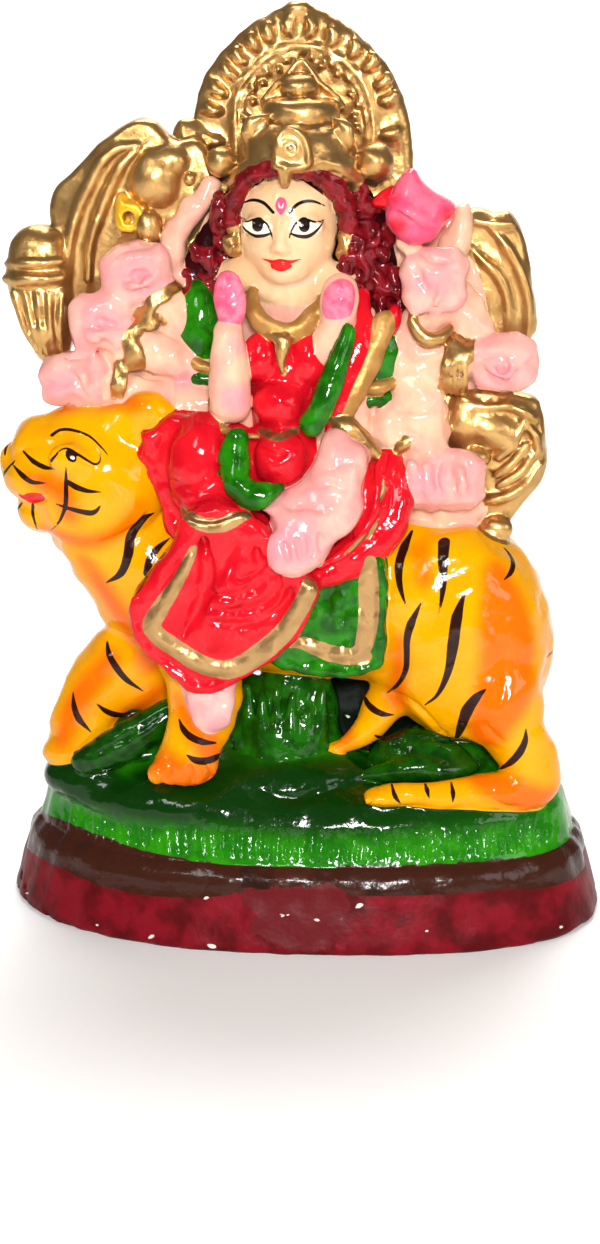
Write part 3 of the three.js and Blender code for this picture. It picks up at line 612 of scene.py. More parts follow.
def makeCrown():
    g, brim, front = "gold", crown["brim"], crown["plateFront"]
    profile = [[0, 221], [brim - 0.6, 222.0], [brim, 223.4], [brim - 0.2, 226.6], [brim - 1.2, 230.4],
               [brim - 3.2, 233.8], [brim - 6.6, 236.0], [0, 236.6]]
    tier = [[0, 235.6], [11.4, 235.8], [12.3, 237.2], [12.4, 240.2], [11.6, 242.0], [9.8, 243.2],
            [6.0, 243.6], [0, 243.6]]
    forms = [
        turned(g, crown["axis"], profile, blend=0.4),
        turned(g, (-0.6, -1.0), tier, blend=0.3),
        ball(g, [-1.0, -1.8, 246.8], [5.7, 5.6, 4.3], blend=0.35),
        slab(g, [[-13.2, 241], [-8.9, 247.4], [-4.5, 251.5], [-0.8, 255.6], [3.2, 251.5], [6.8, 247.2],
                 [11.4, 243.6], [11.6, 239.6]],
             -0.5, 4.5, edge=1.2, puff=0.8, points=28, blend=0.5),  # leaf behind the knob
        rope(g, [[-12.4, -0.8, 243.2, 0.9], [-8.2, -1.2, 247.6, 1.0], [-4.2, -1.4, 251.2, 0.9],
                 [-0.8, -1.0, 255, 0.8], [3.0, -1.4, 251.2, 0.9], [6.4, -1.2, 247.2, 1.0],
                 [10.8, -0.8, 243.8, 0.9]], blend=0.5),
        slab(g, [[-7.5, 223], [-7.4, 231.4], [-5.4, 235.0], [-2.2, 236.4], [1.0, 235.0], [3.1, 231.4],
                 [3.4, 223]],
             front, -14, edge=1.0, points=28, blend=0.4),  # front plate
        rope(g, [[-6.8, front, 224.2, 0.8], [-6.6, front, 230.8, 0.8], [-4.8, front, 234.2, 0.8],
                 [-2.2, front, 235.4, 0.8], [0.4, front, 234.2, 0.8], [2.3, front, 230.8, 0.8],
                 [2.6, front, 224.2, 0.8], [-6.8, front, 224.0, 0.8]], blend=0.4),
        band(g, [-2.4, front, 229.7], [0, 1, 0], 2.7, 1.4, 0.7, blend=0.3),
        ball(g, [-2.4, front - 0.2, 229.7], [1.2, 0.9, 1.2], blend=0.3),
        rope(g, [[-4.2, front + 0.4, 223.4, 2.2], [-4.2, front + 1.4, 221, 1.9],
                 [-4.2, front + 2.2, 219.2, 1.8]],
             blend=0.4),
        rope(g, [[-21.2, -3.5, 215.4, 2.6], [-19.8, -8, 219.4, 3.0], [-15.6, -13.4, 223.2, 2.6],
                 [-9.4, -17.2, 225.0, 2.0]], blend=0.6),  # rim over the brow
        rope(g, [[17.4, -3.5, 215.8, 2.6], [16.4, -8, 219.6, 3.0], [12.4, -13.4, 223.2, 2.6],
                 [6.4, -17.2, 225, 2.0]],
             blend=0.6),
        ball(g, [-25.6, -4, 223.9], [5.0, 5.0, 5.0], blend=0.5),  # side bosses
        ball(g, [22.9, -4, 224.1], [6.1, 6.1, 6.1], blend=0.5),
        rope(g, [[14.6, -11.6, 226.0, 1.2], [16.4, -10.4, 224.2, 1.5], [15.2, -11.6, 222.2, 1.2]], blend=0.5),
        # what would stand out behind the aureole's flat back
        slab(g, [[-30, 212], [-30, 240], [30, 240], [30, 212]], 15.5, 26, cut=True),
    ]
    leaves = (([-17.6, -10.4, 230.6], [-10.2, -10, 238.4], 3.0, 1.4),
              ([15.6, -11, 228.8], [9.4, -10, 237.8], 2.8, -1.2))
    for foot, tip, wide, bow in leaves:  # leaves on the brow
        middle = [(a + b) / 2 + c for a, b, c in zip(foot, tip, (-bow, -1.4, 1.0))]
        forms.append(rope(g, [[*foot, 1.0], [*middle, wide], [*tip, 0.9]], depth=0.6, blend=0.5))
        forms.append(rope(g, [[foot[0], foot[1] - 1.4, foot[2] + 0.6, 0.3],
                              [middle[0] + bow * 0.4, middle[1] - 2.0, middle[2] - 0.6, 0.9],
                              [tip[0], tip[1] - 1.0, tip[2] - 0.4, 0.3]], cut=True, blend=0.5))
    return forms


aureole = {"petals": 15, "beads": 17, "depth": 14.0, "thickness": 6.0, "rim": 2.7}
aureoleArch = [[-32, 214], [-34.4, 223], [-33.9, 233], [-31.2, 246], [-24.8, 255.6], [-15.6, 263.6],
               [-7, 268.2], [-2.4, 269.6], [2, 268.4], [10.8, 263.4], [21.2, 254.6], [28.4, 243], [31.2, 230],
               [32, 221], [31, 212]]


petalArch = [[-29.6, 228], [-29.4, 239], [-27.2, 245.7], [-23.6, 251.4], [-19.6, 256.6], [-14.9, 260.8],
             [-9, 263.6], [-1.9, 265.0], [6.2, 262.4], [13.4, 259.0], [19.8, 254.2], [24.1, 248.4],
             [26.2, 242.5], [27.0, 230]]
ringArch = [[-22.4, 224], [-22.5, 240.5], [-19.6, 248.3], [-14.5, 253.7], [-7.9, 257.7], [-1.6, 258.9],
            [5.3, 258.0], [12.4, 254.0], [17.7, 248.4], [20.8, 241.2], [21.9, 233.7], [21.4, 224]]
beadArch = [[-18.4, 236], [-17.1, 243.5], [-14.2, 247.7], [-10.8, 251.3], [-6.6, 253.6], [-1.2, 255.2],
            [4.2, 254.0], [8.6, 252.4], [12.4, 249.6], [15.2, 244.1], [16.4, 238.7], [16.2, 233]]


def alongArch(arch, share):
    # a place on an arch and the way the arch runs there
    path = smoothPath(arch, 121)
    i = min(119, max(1, round(share * 120)))
    way = path[i + 1] - path[i - 1]
    return path[i], way / np.linalg.norm(way)


def makeAureole():
    depth, g = aureole["depth"], "gold"
    front = depth - aureole["thickness"] / 2
    forms = [
        slab(g, aureoleArch + [[16, 204], [-18, 204]], front, front + aureole["thickness"], edge=1.5,
             points=48),
        rope(g, [[x, depth, z, aureole["rim"]] for x, z in aureoleArch], steps=72, blend=1),
        ball(g, [-37.5, 12, 230], [5.5, 4, 6.5], [0, -20, 0], blend=1.5),
        rope(g, [[x, front - 0.2, z, 1.7] for x, z in ringArch], steps=60, blend=0.6),
        rope(g, [[x * 0.9, front - 0.3, 200 + (z - 200) * 0.962, 0.7] for x, z in ringArch], steps=60,
             blend=0.5),
        ball(g, [-2.5, depth - 1, 270.2], [4.2, 3.6, 2.7], blend=1),
    ]
    for i in range(aureole["petals"]):
        (x, z), way = alongArch(petalArch, i / (aureole["petals"] - 1))
        turn = math.degrees(math.atan2(way[0], way[1]))
        forms.append(ball(g, [x, front - 0.2, z], [3.5, 2.2, 2.0], [0, turn, 0], blend=0.5))
        hook = 1.5 if x < -2 else -1.5
        forms.append(ball(g, [x - 2.2 * way[1] + hook * way[0], front - 0.3,
                              z + 2.2 * way[0] + hook * way[1]],
                          [1.6, 1.6, 1.3], [0, turn, 0], blend=0.8))
    for i in range(aureole["beads"]):
        (x, z), way = alongArch(beadArch, i / (aureole["beads"] - 1))
        out = 0.7 * (-1) ** i
        forms.append(ball(g, [x - out * way[1], front - 0.3, z + out * way[0]], [1.45, 1.5, 1.15],
                          [0, 50 * (i % 3), 0], blend=0.35))
    return forms


skirt = {"front": -40.5, "back": -24.0}


def makeDrapery():
    r = "red"
    skirtEdge = [[-38.5, 108], [-45.4, 99.2], [-51, 91.5], [-53, 86], [-51.9, 79.4], [-48.3, 73], [-43.4, 68],
                 [-37.9, 62.5], [-33.5, 58.5], [-27, 58.8], [-20, 61.5], [-13, 66.5], [-6.4, 71.4],
                 [-0.2, 77.3], [4, 84.3], [7.1, 90.7], [7.1, 96], [0, 102], [-8, 113], [-20, 121], [-34, 118]]
    clothEdge = [[-38, 146], [-43, 144.5], [-46.5, 141], [-50.5, 139.8], [-50, 136.5], [-51.2, 132.3],
                 [-48.6, 129], [-48.3, 125.5], [-45.6, 121], [-44.7, 116.7], [-42.4, 107.2], [-36, 104],
                 [-28, 118], [-28, 142]]
    forms = [
        rope(r, [[-8, -6, 124, 16], [-22, -14, 130, 13.5], [-30, -18, 133, 12]], blend=3),  # thigh
        ball(r, [-31.8, -22, 131.5], [10.4, 12.6, 16], [0, 12, 0], blend=1.2),  # knee
        slab(r, clothEdge, -23, -6, edge=2.2, blend=1),
        slab(r, skirtEdge, skirt["front"], skirt["back"], edge=2.6, puff=1.2, tilt=-0.06, blend=1.2),
        rope(r, [[-30, -26, 122, 10], [-23, -31, 113, 9], [-20, -35.5, 103, 8], [-22, -38, 91, 7],
                 [-26, -39, 78, 4]],
             blend=2.5),  # shin under the cloth
        rope("foot", [[-29, -31, 66, 9.5], [-28, -33.5, 58, 8.6], [-27, -36, 51, 6.4]], depth=0.8, blend=1),
        rope("green", [[-18.6, -31.5, 140.5, 3.8], [-19.8, -33.2, 133, 4.4], [-17.6, -35.4, 126.4, 4.6],
                       [-12.8, -37, 123.0, 4.2], [-8.6, -36.4, 124.6, 3.2], [-5, -34.5, 126, 2.0]],
                       blend=0.6),
        rope(r, [[28.5, -13, 131, 4.2], [30.5, -18, 121, 6.6], [27, -21.5, 110, 7.2], [17, -26, 101, 6.4],
                 [6, -31, 96, 4.6]], depth=0.8, blend=1.5),
        ball(r, [18, -12, 116], [17, 15, 17], blend=2),
        rope(r, [[27.6, -18.5, 133.5, 1.2], [24.6, -25, 124, 2.0], [22.6, -27.5, 114, 2.0],
                 [15, -32, 104.5, 1.8], [8, -35, 101, 1.2]], blend=0.8),  # rolled edge beside the foot
    ]
    folds = (  # valleys pressed into the cloth
        [[-27, -37, 116, 0.6], [-28.4, -41, 109, 1.5], [-28.2, -43, 102, 1.9], [-29.4, -43, 93, 1.7],
         [-31.2, -42.6, 85, 1.2], [-33.4, -42, 78, 0.6]],
        [[-12, -40, 109, 0.6], [-11.6, -42, 101, 1.2], [-14.6, -43, 92, 1.3], [-19.5, -43.6, 84, 0.8]],
        [[-6.2, -39.6, 103, 0.6], [-6.0, -41.6, 96, 1.2], [-10.4, -42.8, 87.6, 1.3], [-17, -43.4, 79.6, 0.8]],
        [[-1.4, -39, 99, 0.5], [-2.2, -41, 91.6, 1.0], [-7.4, -42.4, 83, 1.1], [-14.5, -43.2, 76, 0.7]],
        [[-36, -41, 103, 0.4], [-40.5, -41.8, 95, 0.9], [-43.4, -42.2, 86, 0.8]],
        [[30.5, -19.5, 129, 0.6], [31.6, -25, 119, 1.1], [28, -29, 109.6, 1.1], [18, -33, 101.6, 0.8],
         [8, -36.4, 97.6, 0.5]],
        [[-43.6, -24, 137, 0.5], [-43.6, -27.6, 128, 1.3], [-41, -32, 119, 1.6], [-33.5, -36.6, 111.6, 1.4],
         [-24, -38.6, 110.6, 0.9], [-16, -38, 114.4, 0.6]],
        [[-41.4, -28, 126.6, 0.4], [-35, -34.6, 123.6, 0.7], [-28.5, -35.6, 125, 0.6],
         [-24, -33.6, 129, 0.4]],
        [[-38.6, -32.5, 119.6, 0.5], [-31, -36.6, 114.4, 0.8], [-22.6, -36.4, 114.6, 0.7],
         [-16.6, -34.4, 119, 0.4]],
    )
    forms += [rope(r, stations, cut=True, blend=2.4) for stations in folds]
    hem = [[-50.6, 89.4], [-51.2, 83], [-48.8, 76], [-44, 70.4], [-37, 64.6], [-31, 60.6], [-22, 62.6],
           [-13.4, 68], [-5.4, 74], [0.2, 80], [3.6, 86.4], [5.6, 92.4]]
    forms.append(rope(r, [[x, skirt["front"] + 0.2, z, 1.5] for x, z in hem], blend=1.2))
    return forms


def makeFoldedFoot():
    h = "hand"
    outline = [[7, 136], [8.6, 141], [12, 142.4], [18, 139.3], [22.6, 135], [21.3, 129], [20.2, 123.4],
               [20.6, 117.3], [17.6, 112], [12, 108], [9.4, 102.8], [5.7, 100.4], [0.8, 98.4], [-3.4, 98.4],
               [-7.0, 100.9], [-7.6, 105.5], [-7.6, 111], [-8.6, 116.4], [-12, 118.4], [-10, 120.6],
               [-4.6, 123.6], [1.4, 126.6], [5, 131.6]]
    return [
        slab(h, outline, -35.5, -20, edge=4.2, puff=2.6, tilt=0.33, blend=2),
        ball(h, [12.5, -31, 122], [7.5, 6, 9.5], [0, 20, 0], blend=3),
        ball(h, [2, -37, 112], [9, 5.5, 8], [0, -30, 0], blend=3),
        ball(h, [-1.0, -40.4, 106.4], [8.2, 4.6, 7.6], blend=2),
        ball(h, [-3.0, -42.2, 104.2], [4.8, 3.6, 4.8], blend=1.2),  # big toe
    ]


def makeFrontArms():
    forms = [
        rope("skin", [[-21.4, -22, 149.5, 6.7], [-21.8, -23.5, 160, 6.4], [-22.2, -21.5, 172, 4.9]], blend=2),
        ball("palm", [-21.6, -21.6, 183], [5.2, 4.2, 9.2], [0, -4, 0], blend=1.0),
        rope("dullGold", [[-28.5, -17, 150, 1.0], [-26.4, -23, 144.6, 1.3], [-20.4, -28, 141.6, 1.3],
                          [-12.5, -28, 140.6, 0.9]], blend=0.5),
        ball("skin", [12.6, -18.4, 182.6], [6.2, 4.2, 8.6], [0, 10, 0], blend=1.0),
        ball("palm", [12.6, -20.4, 182.8], [5.0, 3.9, 6.8], [0, 16, 0], blend=0.6),
        rope("skin", [[12.6, -17.5, 177, 5.2], [8.5, -18.5, 167, 5.2]], blend=2),
        rope("green", [[16.0, -22.5, 173.4, 2.4], [12.4, -25, 163, 3.7], [8.4, -27, 152, 4.2],
                       [4.6, -27.5, 144.5, 3.9]],
             blend=0.6),
        ball("green", [-32.6, -3, 170.5], [7.6, 9, 16.5], [0, -3, 0], blend=1),  # sleeves
        ball("green", [25, -4, 163], [7.6, 9.5, 13.5], [0, 8, 0], blend=1),
        rope("dullGold", [[-39, -5, 163.4, 1.5], [-34.5, -10.6, 161, 2.0], [-28, -11.5, 158.8, 1.8]],
             blend=0.6),
        rope("green", [[-38.6, -5, 158.6, 1.6], [-34, -10.4, 156.6, 1.9], [-28, -11, 155.2, 1.7]], blend=0.6),
        rope("dullGold", [[18, -13, 153.6, 1.9], [25, -13.6, 154, 2.1], [31.6, -8, 155.6, 1.9]], blend=0.6),
        rope("green", [[19, -12.6, 150, 1.4], [24.4, -12.8, 149.4, 1.9], [29, -8.6, 151, 1.4]], blend=0.6),
        rope("red", [[18.8, -9.5, 182, 3.2], [18.6, -16, 168, 4.6], [13.4, -19.5, 152, 3.6],
                     [9.6, -20, 140, 1.8]],
             depth=0.7, blend=0.6),
        rope("dullGold", [[26.8, -13, 175.4, 3.5], [23.3, -16.2, 166, 4.1], [17.6, -19.4, 153, 3.5],
                          [12.4, -20.6, 141, 1.8]],
             depth=0.6, blend=0.6),
        ball("red", [29.4, -11, 175.6], [2.9, 3.0, 5.0], [0, 10, 0], blend=0.6),
        rope("gold", [[11.4, -20, 144.5, 2.4], [15.6, -20.6, 142.6, 3.6], [20, -20, 138.6, 3.2],
                      [24.4, -18.6, 134, 2.0]],
             blend=0.8),  # armlet
        rope("gold", [[31, -14.5, 133.4, 1.4], [33.4, -15, 136, 2.1], [36, -14.4, 139, 0.9]], blend=0.6),
    ]
    for x, y, z in ((-21.6, -25.6, 183.4), (12.6, -24.2, 182.8)):  # creases between the fingers
        for crease in range(4):
            rise = (crease - 1.5) * 3.4
            forms.append(rope("palm", [[x - 4.0, y + 1.4, z + rise - 2.4, 0.5], [x, y - 0.2, z + rise, 0.7],
                                       [x + 3.6, y + 1.4, z + rise + 2.0, 0.4]], cut=True, blend=0.9))
    return forms


def makeFist(centre, sizes, dimple, ridges):
    # a swollen closed hand, blobby from its worn mould, with a dimple and a few finger ridges
    x, y, z = centre
    wide, deep, tall = sizes
    forms = [ball("hand", centre, [wide * 0.94, deep, tall * 0.94], blend=2)]
    for dx, dz, size in ((-0.46, 0.3, 0.5), (0.42, 0.42, 0.5), (-0.4, -0.44, 0.5), (0.44, -0.4, 0.46)):
        forms.append(ball("hand", [x + dx * wide, y - 1.0, z + dz * tall],
                          [wide * size, deep * 0.7, tall * size], blend=1.6))
    for angle, length in ridges:
        way = math.radians(angle)
        cx, cz = x + dimple[0] + 2.6 * math.sin(way), z + dimple[1] - 2.6 * math.cos(way)
        dx, dz = length * math.cos(way), length * math.sin(way)
        forms.append(rope("hand", [[cx - dx, y - deep * 0.86, cz - dz, 1.1], [cx, y - deep * 1.02, cz, 1.5],
                                   [cx + dx, y - deep * 0.86, cz + dz, 1.1]], blend=1.2))
    forms.append(ball("hand", [x + dimple[0], y - deep * 1.06, z + dimple[1]], [2.0, 1.6, 1.5], cut=True,
                      blend=1.2))
    forms.append(ball("hand", [x + dimple[0] + 0.3, y - deep * 0.9, z + dimple[1]], [0.8, 0.8, 0.8],
                      blend=0.4))
    return forms


def makeLeftArms():
    s = "skin"
    web = [[-28, 208], [-42, 196], [-56, 182], [-70, 170], [-74, 156], [-64, 144], [-30, 138], [-20, 170]]
    forms = [
        slab(s, web, 1.5, 10.5, edge=2.5),
        rope(s, [[-32, 0, 170, 7], [-38, -4, 174, 6.4], [-45, -6, 181, 6.0]], blend=1.2),
        rope(s, [[-30, -2, 158, 8.5], [-43, -6.5, 162, 7.6], [-56, -7, 168, 5.6]], blend=1.2),
        rope(s, [[-26, -4, 145, 10], [-44, -7.5, 148.5, 7.6], [-66, -7, 153, 6]], blend=1.2),
        rope(s, [[-41, -1, 184, 4.4], [-42.4, -1.6, 194, 4.3], [-39.4, -2, 203.4, 4.2],
                 [-33.6, -2, 210.4, 3.6], [-28.6, -2, 216.4, 2.6]], blend=1.5),  # raised
        ball(s, [-43, -5, 138.5], [6, 6, 5], blend=2),
        ball(s, [-59, -6, 163], [6, 6, 6], blend=2),
        ball(s, [-53, -4.2, 175.4], [4.6, 4.6, 4.4], blend=1.5),
        ball(s, [-43.4, -4.6, 170.2], [4, 4.4, 3.4], blend=1.5),
    ]
    forms += makeFist([-52.5, -7.5, 188.5], [12, 7, 11.5], [0.7, 0.4], ((12, 4.0), (30, 3.0)))
    forms += makeFist([-64.6, -8.5, 173.6], [10.8, 7, 10.2], [-0.4, -0.8], ((-20, 4.2), (20, 3.2)))
    forms += makeFist([-73.4, -8.5, 155], [12.2, 7.2, 9.6], [1.2, 0.6], ((70, 3.6), (110, 3.0)))
    g = "gold"
    forms += [
        band(g, [-46.2, -5.6, 179.8], [0.68, -0.1, -0.72], 7.6, 4.4, 0.9),
        band(g, [-48.8, -7.2, 172.2], [0.5, -0.1, -0.86], 5.8, 3.6, 0.8, ridges=2),
        band(g, [-53, -8, 165.4], [1, -0.1, 0.22], 6.4, 5.6, 0.9),
        band(g, [-55, -8.4, 159.6], [0.3, -0.3, -1], 4.4, 2.6, 0.8, ridges=1),
        band(g, [-58.2, -8.4, 154.6], [1, 0, -0.25], 6.2, 5.0, 0.9, ridges=2),
    ]
    return forms


def makeRightArms():
    s = "skin"
    web = [[26, 210], [46, 204], [57, 190], [62, 172], [68, 158], [62, 112], [38, 106], [24, 136], [20, 172]]
    forms = [
        slab(s, web, -1.5, 10.5, edge=2.5),
        rope(s, [[26, 0, 168, 8], [36, -5, 170, 7], [42, -7, 178, 7]], blend=1.5),
        rope(s, [[30, -2, 162, 8], [40, -6, 160, 8], [54, -7, 163, 6.5]], blend=1.2),
        rope(s, [[48, -4, 182, 6], [54, -5, 174, 6.4], [58, -6, 168, 5]], blend=1.5),
        rope(s, [[34, -4, 156, 8], [38, -7, 150, 8.6], [39, -8.5, 140, 8.4], [40, -9, 133, 8]], blend=1.2),
        rope(s, [[48, -5, 196, 4.8], [50, -5, 203, 4.2], [51, -3.5, 208.5, 3.2]], blend=1.5),  # thumb
        ball(s, [34, -12, 200], [3.2, 3.2, 4.4], [0, -20, 0], blend=1),
        ball(s, [46, 2, 113], [17, 10, 10]),
        ball(s, [29, -8, 140], [8, 8, 10], blend=2),
    ]
    forms += makeFist([42.3, -11, 188], [11.4, 8.2, 11.4], [-1.4, -2.6], ((80, 4.0),))
    forms += makeFist([65, -10, 162.4], [11.2, 7.6, 9.6], [-0.4, -0.6], ((-30, 3.6), (40, 2.8)))
    forms += makeFist([46, -12.5, 124.4], [15, 8, 10.6], [3.2, 1.2], ((84, 3.6), (96, 3.4)))
    for x in (36.4, 40.8):
        forms.append(rope("hand", [[x, -19, 130, 1.6], [x + 0.6, -20, 124, 2.0], [x + 1.2, -18, 118.6, 1.4]],
                          blend=0.8))
    g = "gold"
    forms += [
        rope(g, [[35.6, -12.5, 178.2, 1.6], [36.2, -15, 173.8, 2.1], [39.8, -16, 170.2, 2.3],
                 [44.4, -15, 170.8, 2.0], [47.0, -12.5, 173.6, 1.5]], blend=0.6),
        band(g, [49.4, -7, 161], [1, 0, -0.12], 9.0, 9.0, 0.9, ridges=3),
    ]
    return forms


def makeLotus():
    outline = [[34.8, 223], [37.7, 219.3], [42, 215.6], [48.3, 212], [47.6, 208.1], [44.6, 205], [41.6, 201],
               [38, 199.6], [34.4, 199.2], [30.4, 201.8], [27.4, 205.4], [26.4, 209.6], [28.2, 214.4],
               [31, 220]]
    return [
        slab("lotus", outline, -18, -5, edge=4.4, puff=4, blend=0.6),
        rope("lotus", [[28.4, -17.6, 214, 0.8], [33, -22, 211, 1.6], [38, -22, 208.6, 1.8],
                       [43, -19.6, 205.6, 1.0]], blend=2),
        ball("lotus", [31.4, -21.5, 207], [3.0, 2.4, 3.4], cut=True, blend=1.6),
        slab("red", [[22.6, 211.4], [23.4, 213.8], [29.5, 217.4], [30, 210.6], [26, 210.4]], -12, -3,
             edge=1.5, blend=0.6),
    ]


emblems = {"thickness": 11.0, "flutes": 5}


def makeEmblems():
    g, thick = "gold", emblems["thickness"]
    wing = [[-82, 203], [-81.6, 211.3], [-78.6, 216.2], [-72.5, 221.4], [-66.4, 228.3], [-58.3, 234],
            [-53.3, 236.4], [-48.4, 236.2], [-44.6, 232.6], [-40.2, 229.6], [-33, 230], [-28, 218],
            [-34, 200], [-46, 184], [-62, 176], [-78, 180]]
    shell = [[-96.4, 189], [-94.6, 198], [-89.3, 202.6], [-81.8, 202.4], [-77, 199], [-75.6, 190], [-75, 178],
             [-75.2, 168], [-77, 161.6], [-81.2, 158.6], [-86.6, 159.8], [-90, 167], [-93.3, 174],
             [-96, 181.5]]
    upper = [[50, 206], [54, 209.3], [60.9, 207.7], [64.8, 208.4], [67.6, 206], [69.8, 201.3], [71.5, 195.4],
             [73.8, 183.2], [75.1, 170.4], [68, 166], [58, 168], [50, 182], [47, 198]]
    lower = [[42, 150], [51.6, 152], [62, 151.6], [74.9, 149], [77.2, 145.2], [78.7, 140.4], [79.1, 133.6],
             [80, 128.8], [78.1, 121.5], [73, 115], [67, 106.4], [66.6, 101], [59.8, 103], [57.3, 108.8],
             [58, 116], [54, 124], [44, 134]]
    forms = [
        slab(g, wing, 0.5, 0.5 + thick, edge=2.6, puff=0.4),
        slab(g, shell, -3.5, 9.5, edge=4.2, puff=3.0),
        slab(g, upper, -0.5, -0.5 + thick, edge=2.4, puff=0.5),
        slab(g, lower, -2.5, -2.5 + thick, edge=2.4, puff=0.8),
        ball(g, [-47.5, 1, 218], [8.2, 6.6, 9.6], [0, 6, 0], blend=1.2),
        ball(g, [-42, 1.5, 224], [5.5, 5, 5], blend=1.2),
        ball(g, [-36, -2, 218.4], [2.2, 2.2, 2.2], blend=0.6),
        ball(g, [-49.4, -2, 203], [4.2, 3.6, 6], blend=1.2),
        band("ringGold", [-55.7, -2.2, 206.1], [0, 1, 0], 3.4, 3.4, 1.5, blend=0.8),
        ball("ringGold", [-55.7, -2.0, 205.2], [1.2, 1.2, 1.2], blend=0.3),
        rope("ringGold", [[-57.8, -1.5, 212.4, 1.2], [-58.6, -2, 209, 1.6]], blend=1),
        ball(g, [61, -3, 139], [9, 4.6, 6.4], [0, 20, 0], blend=1.6),
        ball(g, [52, -3, 141], [6, 4.4, 9], blend=1.6),
        ball(g, [57, -5, 130.4], [4.4, 3.6, 3.4], blend=1.2),
        ball(g, [64, -3.5, 106], [5, 3.6, 4.4], blend=1.2),
    ]
    for height, girth in ((191.6, 1.5), (186.4, 2.1)):  # bands round the shell
        forms.append(rope(g, [[-96.2, 0, height - 0.6, girth * 0.7], [-91, -5.6, height, girth],
                              [-84, -7.2, height + 0.2, girth], [-77.4, -4.6, height + 0.6, girth * 0.8]],
                          blend=0.7))
    for flute in range(emblems["flutes"]):
        share = flute / (emblems["flutes"] - 1)
        top, foot = -93 + 15.4 * share, -86.6 + 8.4 * share
        bulge = -6.2 + 6 * (share - 0.5) ** 2
        forms.append(rope(g, [[top, bulge, 181.8, 1.3], [(top + foot) / 2 - 0.6, bulge - 0.6, 172, 1.3],
                              [foot, bulge + 0.6, 162.6, 0.8]], blend=0.7))
    ribs = (
        [[-52.5, 0.2, 228.9, 1.2], [-59.4, -0.6, 227.2, 1.6], [-65.4, -0.8, 221.7, 1.8],
         [-69.6, -0.8, 213.9, 1.8], [-73.2, -0.8, 206.1, 1.8], [-75.4, -0.6, 197.3, 1.6],
         [-76.4, -0.4, 188, 1.2]],
        [[-52.6, 0.2, 227.6, 1.2], [-57.8, -0.8, 222.7, 1.6], [-61.9, -0.8, 215.4, 1.8],
         [-65.6, -0.8, 206.3, 1.8], [-68.6, -0.6, 196.9, 1.6], [-69.6, -0.4, 186, 1.2]],
        [[60.0, -0.8, 203.4, 1.2], [63.6, -1.2, 199.3, 1.6], [67.4, -1.2, 193.4, 1.7],
         [70.8, -1.0, 186, 1.7], [72.8, -0.8, 177.5, 1.5], [72.0, -0.6, 170, 1.2]],
        [[52.6, -0.8, 198, 1.0], [57.3, -1.2, 193.6, 1.6], [61.6, -1.2, 189.6, 1.8],
         [64.6, -1.0, 184.3, 1.6], [66.2, -0.8, 178.4, 1.4], [66.0, -0.6, 171, 1.0]],
        [[53, -1, 206, 1.2], [58, -1.2, 205, 1.2], [66, -1, 204.6, 1.2]],
        [[50.5, -3.6, 149.2, 1.3], [55, -4.4, 147.2, 1.7], [60, -4.4, 146.6, 1.5], [66.4, -4, 147, 1.5]],
        [[70.8, -4.2, 139.6, 1.4], [68.6, -4.6, 134.6, 1.5], [63.8, -4.6, 130.2, 1.3]],
        [[72.6, -4.2, 134.4, 1.3], [68.8, -4.6, 128.4, 1.5], [63.4, -4.6, 124.2, 1.2]],
        [[74.6, -3.8, 130.4, 1.3], [70.4, -4.4, 124.4, 1.5], [64, -4.6, 120.8, 1.2]],
        [[77.4, -3.2, 127.6, 1.2], [72.4, -4.2, 120.6, 1.7], [66, -4.4, 116.6, 1.7],
         [60.8, -4.0, 115.6, 1.4]],
        [[71.6, -3.4, 141.6, 1.3], [75.4, -3.6, 137.6, 1.4], [77.2, -3.4, 131.8, 1.3]],
        [[66, -3.4, 147, 1.2], [71, -3.8, 145.4, 1.7], [75, -3.4, 143, 1.5]],
    )
    forms += [rope(g, stations, blend=1.2) for stations in ribs]
    forms.append(rope(g, [[-50.6, -0.2, 228, 0.5], [-55.2, -0.6, 221.4, 0.8], [-57.6, -0.4, 215.9, 0.7],
                          [-60.6, -0.2, 211.6, 0.4]], cut=True, blend=1))
    return forms


